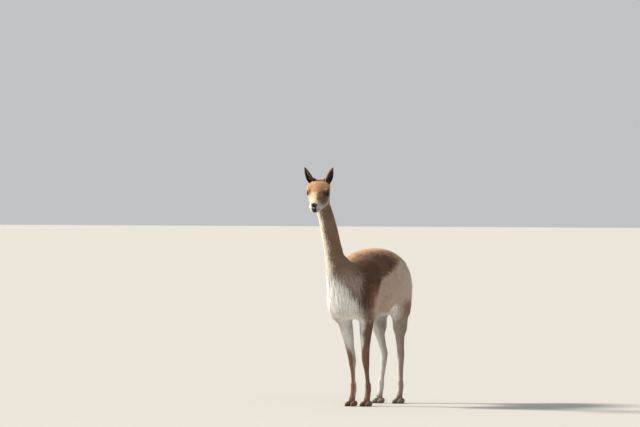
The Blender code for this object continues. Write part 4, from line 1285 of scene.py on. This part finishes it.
def coat_pieces(roots, normals, colours, shares, chance, material):
    """The short coat on the skin, in pieces by the limb that it grows on."""
    growth = growth_at(roots, shares)
    ways = lie_at(roots, normals, shares, chance)
    ruler = shares.argmax(axis=0)
    facing = np.degrees(np.arctan2(normals[:, 0], normals[:, 2]))
    groups = {
        "coat_back": ((ruler == 0) & (np.abs(facing) < 50), "trunk"),
        "coat_flank_left": ((ruler == 0) & (facing >= 50) & (facing < 130), "trunk"),
        "coat_flank_right": ((ruler == 0) & (facing <= -50) & (facing > -130), "trunk"),
        "coat_belly": ((ruler == 0) & (np.abs(facing) >= 130), "trunk"),
        "coat_neck": (ruler == 1, "neck"),
        "coat_head": (ruler == 2, "head"),
        "coat_forelegs": ((ruler == 3) & (roots[:, 1] < 0), "legs"),
        "coat_hindlegs": ((ruler == 3) & (roots[:, 1] >= 0), "legs"),
        "coat_tail": (ruler == 4, "neck"),
    }
    for name, (wanted, limb) in groups.items():
        found = np.flatnonzero(wanted)
        along = unwrapped(roots[found], normals[found], limb)[:, 1]
        found = found[np.argsort(along, kind="stable")]
        form = LONG_TUFT if name.startswith(LONG_COATS) else SHORT_TUFT
        triangles = len(found) * (6 * len(form[0]) - 2)
        parts = np.array_split(found, int(math.ceil(triangles / MOST_TRIANGLES)))
        for n, part in enumerate(parts):
            places = unwrapped(roots[part], normals[part], limb)
            own = (roots[part], normals[part], ways[part], growth[:, part])
            shape = tuft_blades(*own, chance, places, form)
            label = name if len(parts) == 1 else f"{name}_{n + 1}"
            add_coat(label, shape, colours[part], material)


# Long hair

# A lock's rings as shares of its length, their widths, and the shades of the rings and the tip, darker
# at the root: partly the hair's own colour and partly painted shade among the locks
LOCK_RINGS = (0.0, 0.22, 0.48, 0.76)
LOCK_WIDTHS = (0.60, 1.0, 0.90, 0.55)
LOCK_TONES = (0.72, 0.90, 1.0, 1.04, 1.08)
# The share of a lock that follows the surface
CLING = 0.5
# Behind this place no lock hangs lower than its piece allows.
BREAST_BACK = -0.300


def hanging_blades(field_at, roots, halves, lengths, stand, lowest, chance):
    """Long locks that follow the surface down from their roots and then hang free."""
    count = len(roots)
    places, outward = on_surface(field_at, roots)
    lean = chance.normal(0, 0.10, (count, 2))
    fall = unit(np.stack([lean[:, 0], 0.10 + lean[:, 1], -np.ones(count)], axis=1))
    shares = (*LOCK_RINGS, 1.0)
    points, sides, rises = [places - outward * 0.003], [], []
    wave = chance.uniform(0, math.tau, count)
    for before, share in zip(shares, shares[1:]):
        along = unit(fall - outward * (fall * outward).sum(axis=1, keepdims=True))
        free = max(share - 0.35, 0)
        step = unit(along * (1 - free) + fall * free)
        ahead = places + step * (lengths * (share - before))[:, None]
        side = unit(np.cross(step, outward))
        sides.append(side)
        rises.append(unit(np.cross(side, step)))
        if share <= CLING:
            places, outward = on_surface(field_at, ahead, 3)
        else:
            places = ahead
        drift = side * (0.0035 * np.sin(wave + 4 * share))[:, None]
        points.append(places + outward * (stand * share)[:, None] + drift)
    paths = np.stack(points, axis=1)
    top, tip = paths[:, :1, 2], paths[:, -1:, 2]
    over = (tip < lowest) & (paths[:, -1:, 1] > BREAST_BACK)
    scale = np.where(over, (top - lowest) / np.maximum(top - tip, 1e-6), 1.0)
    paths[:, :, 2] = top + (paths[:, :, 2] - top) * np.clip(scale, 0, 1)
    widths = halves[:, None] * np.array(LOCK_WIDTHS)
    tones = np.array(LOCK_TONES) * chance.uniform(0.80, 1.12, count)[:, None]
    return paths, np.stack(sides, axis=1), np.stack(rises, axis=1), widths, tones, outward


def core_field(points):
    """The body under its long hair."""
    return outline_field(points) + body_depth(points) * 0.55


def tail_core(points):
    """The tail under its long hair."""
    return tube_distance(points, TAIL) + 0.0035


# Where the locks of the breast grow: heights, half the angle round the chest, and the upright
# axis and reach that the angle is measured with
BIB_HEIGHTS = (0.505, 0.790)
BIB_HALF_ANGLE = math.radians(78)
BIB_AXIS_Y, BIB_REACH = -0.250, 0.190
# Heights of the roots, and the locks' lengths there: short at the foot of the neck, longest
# over the breast and shorter again below it.
BIB_LENGTHS = ((0.505, 0.56, 0.66, 0.72, 0.79), (0.055, 0.090, 0.110, 0.070, 0.026))


def bib_roots(chance, count=4200):
    """Roots over the front of the chest, from the foot of the neck to between the legs."""
    low, high = BIB_HEIGHTS
    height = low + (high - low) * chance.random(count) ** 1.25
    angle = BIB_HALF_ANGLE * chance.uniform(-1, 1, count)
    x, y = BIB_REACH * np.sin(angle), BIB_AXIS_Y - BIB_REACH * np.cos(angle)
    return np.stack([x, y, height], axis=1)


def fringe_roots(chance, count=1300):
    """Roots along the lower flanks and behind the elbows."""
    y = chance.uniform(-0.170, 0.150, count)
    height = chance.uniform(0.508, 0.575, count)
    x = np.where(chance.random(count) < 0.5, -1, 1) * (0.100 + 0.4 * (height - 0.508))
    return np.stack([x, y, height], axis=1)


def tail_roots(chance, count=800):
    """Roots all down the tail."""
    rows = smooth_stations(TAIL)
    at = chance.uniform(0.12, 1.0, count) * (len(rows) - 1)
    middle = [np.interp(at, np.arange(len(rows)), rows[:, n]) for n in range(3)]
    turn = chance.uniform(0, math.tau, count)
    places = np.stack(middle, axis=1)
    return places + 0.022 * np.stack([np.cos(turn), np.sin(turn), 0 * turn], axis=1)


# For each piece of long hair: half a lock's width, how far its tip stands off and how low it
# may hang.
LONG_HAIR = {
    "bib": (0.0031, 0.009, 0.474),
    "fringe": (0.0028, 0.006, 0.474),
    "tail_hair": (0.0028, 0.012, 0.40),
}
FRINGE_LENGTH, TAIL_HAIR_LENGTH = 0.060, 0.100


def long_hair(name, field_at, roots, length, chance, material):
    """A piece of long locks on the surface of a field, each painted from root to tip."""
    half, stand, lowest = LONG_HAIR[name]
    count = len(roots)
    lengths = length * chance.uniform(0.72, 1.10, count)
    halves = half * chance.uniform(0.6, 1.25, count) * np.clip(lengths / 0.07, 0.45, 1.0)
    stands = stand * chance.uniform(0.3, 1.0, count)
    found = hanging_blades(field_at, roots, halves, lengths, stands, lowest, chance)
    paths, sides, rises, widths, tones, outward = found
    places = spread_map(np.arctan2(roots[:, 0], -(roots[:, 1] + 0.10)), roots[:, 2])
    shape = blades(paths, sides, rises, widths, tones, places, outward)
    drift = chance.normal(0, 0.008, (count, 3))
    upper, lower = (skin_colours(paths[:, n] + drift) for n in (1, 4))
    along = np.append(np.repeat(np.array(LOCK_RINGS), 3), 1.0)[None, :, None]
    colours = mixed(upper[:, None], lower[:, None], along)
    return add_coat(name, shape, colours.reshape(-1, 3), material)


# Eyes, lashes and nails

# The radius of the clear bulge over an eye and its height, the radii of the iris's rim and of
# the white round it, and half the width and height of the pupil
CORNEA_RADIUS, CORNEA_SWELL = 0.0125, 0.0008
IRIS_EDGE, WHITE_EDGE = (0.0100, 0.0128), (0.0135, 0.0148)
PUPIL_SIZE = (0.0068, 0.0038)
# The angle left open at an eyeball's poles, which flat caps close
POLE_ANGLE = 0.02


def eye_mesh(name, sign, rings=40, around=64):
    """An eyeball about its gaze, painted with a level pupil in a dark brown iris."""
    frame_now = np.array(eye_frame(sign))
    polar = np.linspace(POLE_ANGLE, math.pi - POLE_ANGLE, rings)
    turn = np.linspace(0, math.tau, around, endpoint=False)
    reach = np.sin(polar)[:, None] * EYE_RADIUS
    x, y = reach * np.cos(turn), reach * np.sin(turn)
    swell = np.clip(1 - (reach / CORNEA_RADIUS) ** 2, 0, 1) * (np.cos(polar) > 0)[:, None]
    z = np.cos(polar)[:, None] * EYE_RADIUS + CORNEA_SWELL * swell + 0 * x
    places = np.stack([x, y, z], axis=-1).reshape(-1, 3)
    quads = ring_quads(rings, around)[:, [0, 3, 2, 1]]
    caps = [tuple(range(around)), tuple(range(rings * around - 1, (rings - 1) * around - 1, -1))]
    vertices = places @ frame_now[:3, :3].T + frame_now[:3, 3]
    mesh = mesh_of(name, vertices, [quads, np.array(caps)])
    radius = np.hypot(places[:, 0], places[:, 1])
    front = places[:, 2] > 0
    turned = np.arctan2(places[:, 1], places[:, 0])[:, None] * np.array((4.0, 0.0, 0.0))
    streak = noise(turned, 0.16)
    colour = np.array(IRIS) * (1 + 0.35 * streak[:, None])
    colour = layered(colour, IRIS_RIM, ramp(*IRIS_EDGE, radius))
    colour = layered(colour, EYE_WHITE, ramp(*WHITE_EDGE, radius))
    pupil = np.hypot(places[:, 0] / PUPIL_SIZE[0], places[:, 1] / PUPIL_SIZE[1])
    colour = layered(colour, PUPIL, ramp(1.12, 0.92, pupil))
    colour[~front] = EYE_BACK
    paint(mesh, colour)
    return mesh


# The lashes of one upper lid: their number, where they stand across the eye, and each one's
# length, stand and half width.
LASHES = 46
LASH_SPAN = (-0.0128, 0.0135)
LASH_GROWTH = (0.0085, 0.0020, 0.00030)


def lash_roots():
    """The lashes' roots on the upper lids, with their normals, lie and growth."""
    roots, ways, normals = [], [], []
    for sign in (1, -1):
        frame_now = np.array(eye_frame(sign))
        for across in np.linspace(*LASH_SPAN, LASHES):
            rise = LID_TILT * across + LID_OPENING[1] * (1 - (across / LID_OPENING[0]) ** 2)
            local = unit(np.array((across * sign, rise, EYE_RADIUS * 0.78))) * (EYE_RADIUS + 0.0022)
            outward = unit(local)
            way = unit(outward * 0.8 + np.array((across * sign * 18, 0.30, 0.10)))
            lift = unit(np.array((0, 1.0, 0.2)) - way * way[1])
            turned = frame_now[:3, :3]
            roots.append(turned @ local + frame_now[:3, 3])
            ways.append(turned @ way)
            normals.append(turned @ unit(lift - way * (lift @ way)))
    roots, ways, normals = np.array(roots), np.array(ways), np.array(normals)
    growth = np.array(LASH_GROWTH)[:, None] * np.ones(len(roots))
    return roots, normals, ways, growth


def nail_rings(stations, sign, offset, around=16):
    """A nail's rings in front of its toe: domed above, flatter below, blunt ahead."""
    x, y = stations[PASTERN][:2]
    centre = sign * x * TOE_SPLAY + offset * TOE_SPREAD
    rings = []
    for reach, half, low, high in NAIL_PROFILE:
        middle, tall = (low + high) / 2, (high - low) / 2
        drift = centre + offset * TOE_FLARE * reach / TOE_REACH
        turn = np.linspace(0, math.tau, around, endpoint=False)
        squeeze = np.where(np.sin(turn) > 0, 1 - 0.35 * np.sin(turn) ** 2, 1.0)
        ring = np.stack(
            [drift + half * np.cos(turn) * squeeze, 0 * turn + y - reach, middle + tall * np.sin(turn)],
            axis=1,
        )
        rings.append(ring)
    return np.array(rings)


def nails_mesh():
    """All eight nails in one mesh."""
    vertices, quads, caps, start = [], [], [], 0
    for stations in (FORELEG, HIND_LEG):
        for sign in (1, -1):
            for offset in (1, -1):
                rings = nail_rings(stations, sign, offset)
                count, around = rings.shape[:2]
                vertices.append(rings.reshape(-1, 3))
                quads.append(start + ring_quads(count, around))
                caps.append([start + k for k in range(around)][::-1])
                caps.append([start + (count - 1) * around + k for k in range(around)])
                start += count * around
    return mesh_of("nails", np.concatenate(vertices), [np.concatenate(quads), np.array(caps)])


# Materials


def node_material(name, roughness, specular):
    made = bpy.data.materials.new(name)
    made.use_nodes = True
    shader = made.node_tree.nodes["Principled BSDF"]
    shader.inputs["Roughness"].default_value = roughness
    shader.inputs["Specular IOR Level"].default_value = specular
    return made, shader


def add_node(made, kind, **values):
    """A shader node with some of its inputs set. An underscore stands for a space in a name."""
    node = made.node_tree.nodes.new(f"ShaderNode{kind}")
    for name, value in values.items():
        node.inputs[name.replace("_", " ")].default_value = value
    return node


def join(made, *links):
    """Links nodes: each link is a node and its output, then a node and its input."""
    for source, output, target, into in links:
        made.node_tree.links.new(source.outputs[output], target.inputs[into])


def marked_colour(made, shader, scale, low, high):
    """The painted markings, varied by fine noise, as the base colour."""
    layer = add_node(made, "VertexColor")
    layer.layer_name = "markings"
    place = add_node(made, "TexCoord")
    grain = add_node(made, "TexNoise", Scale=scale, Detail=3)
    spread = add_node(made, "MapRange", From_Min=0.3, From_Max=0.7, To_Min=low, To_Max=high)
    tone = add_node(made, "VectorMath")
    tone.operation = "SCALE"
    join(
        made,
        (place, "Object", grain, "Vector"),
        (grain, "Fac", spread, "Value"),
        (layer, "Color", tone, 0),
        (spread, "Result", tone, "Scale"),
        (tone, "Vector", shader, "Base Color"),
    )
    return place


def coat_material():
    made, shader = node_material("fleece", 0.86, 0.18)
    shader.inputs["Sheen Weight"].default_value = 0.16
    shader.inputs["Sheen Roughness"].default_value = 0.45
    marked_colour(made, shader, 160, 0.86, 1.14)
    return made


def skin_material():
    made, shader = node_material("hide", 0.74, 0.30)
    place = marked_colour(made, shader, 420, 0.80, 1.08)
    grain = add_node(made, "TexNoise", Scale=900, Detail=4)
    bump = add_node(made, "Bump", Distance=0.0008, Strength=0.8)
    join(
        made,
        (place, "Object", grain, "Vector"),
        (grain, "Fac", bump, "Height"),
        (bump, "Normal", shader, "Normal"),
    )
    return made


def eye_material():
    made, shader = node_material("eye_gloss", 0.05, 0.5)
    shader.inputs["IOR"].default_value = 1.25
    marked_colour(made, shader, 700, 0.9, 1.1)
    return made


def nail_material():
    made, shader = node_material("horn", 0.42, 0.45)
    place = add_node(made, "TexCoord")
    stretch = add_node(made, "Mapping", Scale=(260, 60, 420))
    grain = add_node(made, "TexNoise", Scale=1.0, Detail=4)
    tones = add_node(made, "ValToRGB")
    for element, colour in zip(tones.color_ramp.elements, HORN_COLOURS):
        element.color = (*colour, 1)
    bump = add_node(made, "Bump", Distance=0.0004)
    join(
        made,
        (place, "Object", stretch, "Vector"),
        (stretch, "Vector", grain, "Vector"),
        (grain, "Fac", tones, "Fac"),
        (tones, "Color", shader, "Base Color"),
        (grain, "Fac", bump, "Height"),
        (bump, "Normal", shader, "Normal"),
    )
    return made


# The whole animal

# The skin is darker than the coat over it.
SKIN_SHADE = 0.8


def build_skin(material):
    """The skin with its ears, and what the coat needs to grow on it."""
    vertices, quads, triangles = skin_surface()
    body_count = len(vertices)
    colours, marks = skin_colours(vertices), np.zeros((body_count, 3))
    for sign in (1, -1):
        own, own_quads, own_marks = ear_surface(sign)
        quads = np.concatenate([quads, own_quads + len(vertices)])
        vertices = np.concatenate([vertices, from_head(own)])
        marks = np.concatenate([marks, own_marks])
        colours = np.concatenate([colours, ear_colours(own_marks, sign > 0)])
    mesh = mesh_of("skin", vertices, [quads, triangles])
    paint(mesh, colours * SKIN_SHADE)
    skin = piece_of(mesh, material)
    flesh = [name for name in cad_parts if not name.startswith(("eye_", "nail_"))]
    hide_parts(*flesh)
    split = np.concatenate([quads[:, [0, 1, 2]], quads[:, [0, 2, 3]], triangles])
    return vertices, split, body_count, marks


def build_coat(vertices, triangles, body_count, marks, material):
    """The short coat on the body, head and ears."""
    chance = np.random.default_rng(SEED)
    normals, areas = corner_normals(vertices, triangles)
    on_body = (triangles < body_count).all(axis=1)
    body = vertices[:body_count]
    density = np.zeros(len(vertices))
    density[:body_count] = growth_at(body, limb_shares(body))[3]
    density[:body_count] *= bare_spots(body)
    found = scattered(vertices, triangles[on_body], normals, areas[on_body], density, chance)
    roots, facing = found[:2]
    shares = limb_shares(roots)
    spread = mixed(0.0015, 0.0060, shares[0] + shares[1])[:, None]
    colours = skin_colours(roots + chance.normal(0, 1, roots.shape) * spread)
    coat_pieces(roots, facing, colours, shares, chance, material)
    build_ear_coat(vertices, triangles[~on_body], normals, areas[~on_body], marks, chance, material)


def bare_spots(points):
    """0 where no hair grows: on the rims of the lids, in the nostrils and mouth, under the feet."""
    found = np.ones(len(points))
    found[points[:, 2] < 0.003] = 0
    high = np.flatnonzero(points[:, 2] > HEAD_LOWEST)
    both = folded(to_head(points[high]))
    across, rise, ahead, distance = eye_places(both)
    lid = (opening_field(across, rise) < 0.0042) & (ahead > 0) & (distance < 0.027)
    inside = distance < EYE_RADIUS + 0.0012
    mouth = tube_distance(both, MOUTH_TUBE) < 0.0008
    nostril = tube_distance(both, NOSTRIL_SLIT) < 0.0012
    found[high[lid | inside | mouth | nostril]] = 0
    return found


def build_ear_coat(vertices, triangles, normals, areas, marks, chance, material):
    """Short hair along the ears, and longer pale hair inside them."""
    density = GROWTH["ear"][3] * mixed(1.0, 0.8, marks[:, 2])
    places, facing, corners, parts = scattered(
        vertices, triangles, normals, areas, density, chance
    )
    own = (marks[corners] * parts).sum(axis=1)
    count = len(places)
    left = places[:, 0] > POLL.x + 0.01
    colours = ear_colours(own, left)
    along = {}
    for sign in (1, -1):
        root = np.array(on_side(EAR_ROOT, sign))
        along[sign] = unit(np.array(EAR_TIPS[sign]) - root) @ HEAD[:3, :3].T
    ways = np.where(left[:, None], along[1], along[-1])
    ways = unit(ways - facing * (ways * facing).sum(axis=1, keepdims=True))
    ways = unit(ways + np.cross(ways, facing) * chance.normal(0, 0.18, count)[:, None])
    fringe = ear_streak(own, left) > 0.5
    growth = np.array(GROWTH["ear"])[:3, None] * np.ones(count)
    growth[0] *= np.where(fringe, 2.0, 1.0) * (1.0 - 0.35 * own[:, 0])
    growth[1] *= np.where(fringe, 2.6, 1.0)
    maps = spread_map(own[:, 1] + 2.1 * own[:, 2] + 4.2 * left, own[:, 0])
    shape = tuft_blades(places, facing, ways, growth, chance, maps)
    add_coat("coat_ears", shape, colours, material)


def build_long_hair(material):
    """The long hair of the breast, lower flanks and tail."""
    chance = np.random.default_rng(SEED + 1)
    roots = bib_roots(chance)
    lengths = np.interp(roots[:, 2], *BIB_LENGTHS)
    long_hair("bib", core_field, roots, lengths, chance, material)
    long_hair("fringe", core_field, fringe_roots(chance), FRINGE_LENGTH, chance, material)
    long_hair("tail_hair", tail_core, tail_roots(chance), TAIL_HAIR_LENGTH, chance, material)


def build_lashes(material):
    """Dark lashes along both upper lids."""
    chance = np.random.default_rng(SEED + 2)
    roots, normals, ways, growth = lash_roots()
    maps = spread_map(roots[:, 0] * 10, np.arange(len(roots)) % LASHES)
    shape = tuft_blades(roots, normals, ways, growth, chance, maps)
    add_coat("lashes", shape, np.array([LASH_BLACK]), material)


def build_eyes_and_nails():
    """The eyeballs and the nails, each in place of its solids."""
    gloss, horn = eye_material(), nail_material()
    for name, sign in (("eye_left", 1), ("eye_right", -1)):
        ball = piece_of(eye_mesh(f"{name}_ball", sign), gloss)
        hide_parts(name)
    nails = piece_of(nails_mesh(), horn)
    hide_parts(*[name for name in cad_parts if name.startswith("nail_")])


# The studio

CAMERA_AZIMUTH = math.radians(24)
CAMERA_DISTANCE = 30.0
PIXELS_PER_METRE = 180.0
PICTURE_WIDTH, PICTURE_HEIGHT = 640, 427
# In the photo's pixels: the middle of the feet on the ground, and the height of the horizon
FEET_AT = (372.0, 405.0)
HORIZON_AT = 165.0
# The lights: azimuth and elevation in degrees, strength, width in degrees, and colour
LIGHTS = {
    "key": (-100, 33, 6.4, 10, (1.0, 0.94, 0.83)),
    "fill": (25, 30, 0.45, 60, (1.0, 0.98, 0.96)),
}
FLOOR_HALF = 80
FLOOR_COLOUR = (0.49, 0.478, 0.455, 1)
SKY_COLOUR, SKY_STRENGTH = (0.64, 0.645, 0.66, 1), 0.84


def add_camera():
    """The photo's viewpoint: far off, at a person's height above the ground, with a long lens."""
    right = Vector((math.cos(CAMERA_AZIMUTH), math.sin(CAMERA_AZIMUTH), 0))
    back = Vector((math.sin(CAMERA_AZIMUTH), -math.cos(CAMERA_AZIMUTH), 0))
    data = bpy.data.cameras.new("camera")
    data.sensor_width = 36
    data.lens = data.sensor_width * PIXELS_PER_METRE * CAMERA_DISTANCE / PICTURE_WIDTH
    data.clip_end = 200
    camera = bpy.data.objects.new("camera", data)
    height = (FEET_AT[1] - HORIZON_AT) / PIXELS_PER_METRE
    aside = (PICTURE_WIDTH / 2 - FEET_AT[0]) / PIXELS_PER_METRE
    camera.location = SHIFT + back * CAMERA_DISTANCE + right * aside + Vector((0, 0, height))
    drop = (PICTURE_HEIGHT / 2 - HORIZON_AT) / (PIXELS_PER_METRE * CAMERA_DISTANCE)
    camera.rotation_euler = (math.pi / 2 - math.atan(drop), 0, CAMERA_AZIMUTH)
    bpy.context.scene.collection.objects.link(camera)
    bpy.context.scene.camera = camera


def add_light(name, azimuth, elevation, energy, spread, colour):
    """A soft sun. Its azimuth runs from the camera's own side towards the picture's right."""
    data = bpy.data.lights.new(name, "SUN")
    data.energy, data.angle, data.color = energy, math.radians(spread), colour
    light = bpy.data.objects.new(name, data)
    turn = CAMERA_AZIMUTH + math.radians(azimuth)
    rise = math.radians(elevation)
    light.rotation_euler = (math.pi / 2 - rise, 0, turn)
    bpy.context.scene.collection.objects.link(light)


def add_studio():
    """A plain pale floor, a soft sky and the lights."""
    corners = [(FLOOR_HALF * x, FLOOR_HALF * y, 0) for x, y in ((-1, -1), (1, -1), (1, 1), (-1, 1))]
    floor = mesh_of("floor", corners, [np.array([[0, 1, 2, 3]])])
    made, shader = node_material("floor_paint", 0.9, 0.1)
    shader.inputs["Base Color"].default_value = FLOOR_COLOUR
    floor.materials.append(made)
    plane = bpy.data.objects.new("floor", floor)
    bpy.context.scene.collection.objects.link(plane)
    world = bpy.data.worlds.new("studio")
    bpy.context.scene.world = world
    world.use_nodes = True
    sky = world.node_tree.nodes["Background"]
    sky.inputs["Color"].default_value = SKY_COLOUR
    sky.inputs["Strength"].default_value = SKY_STRENGTH
    for name, values in LIGHTS.items():
        add_light(name, *values)
    bpy.context.scene.view_settings.view_transform = "Standard"


def main():
    """Builds the studio and the animal."""
    add_camera()
    add_studio()
    fleece = coat_material()
    build_coat(*build_skin(skin_material()), fleece)
    build_long_hair(fleece)
    build_lashes(fleece)
    build_eyes_and_nails()


main()
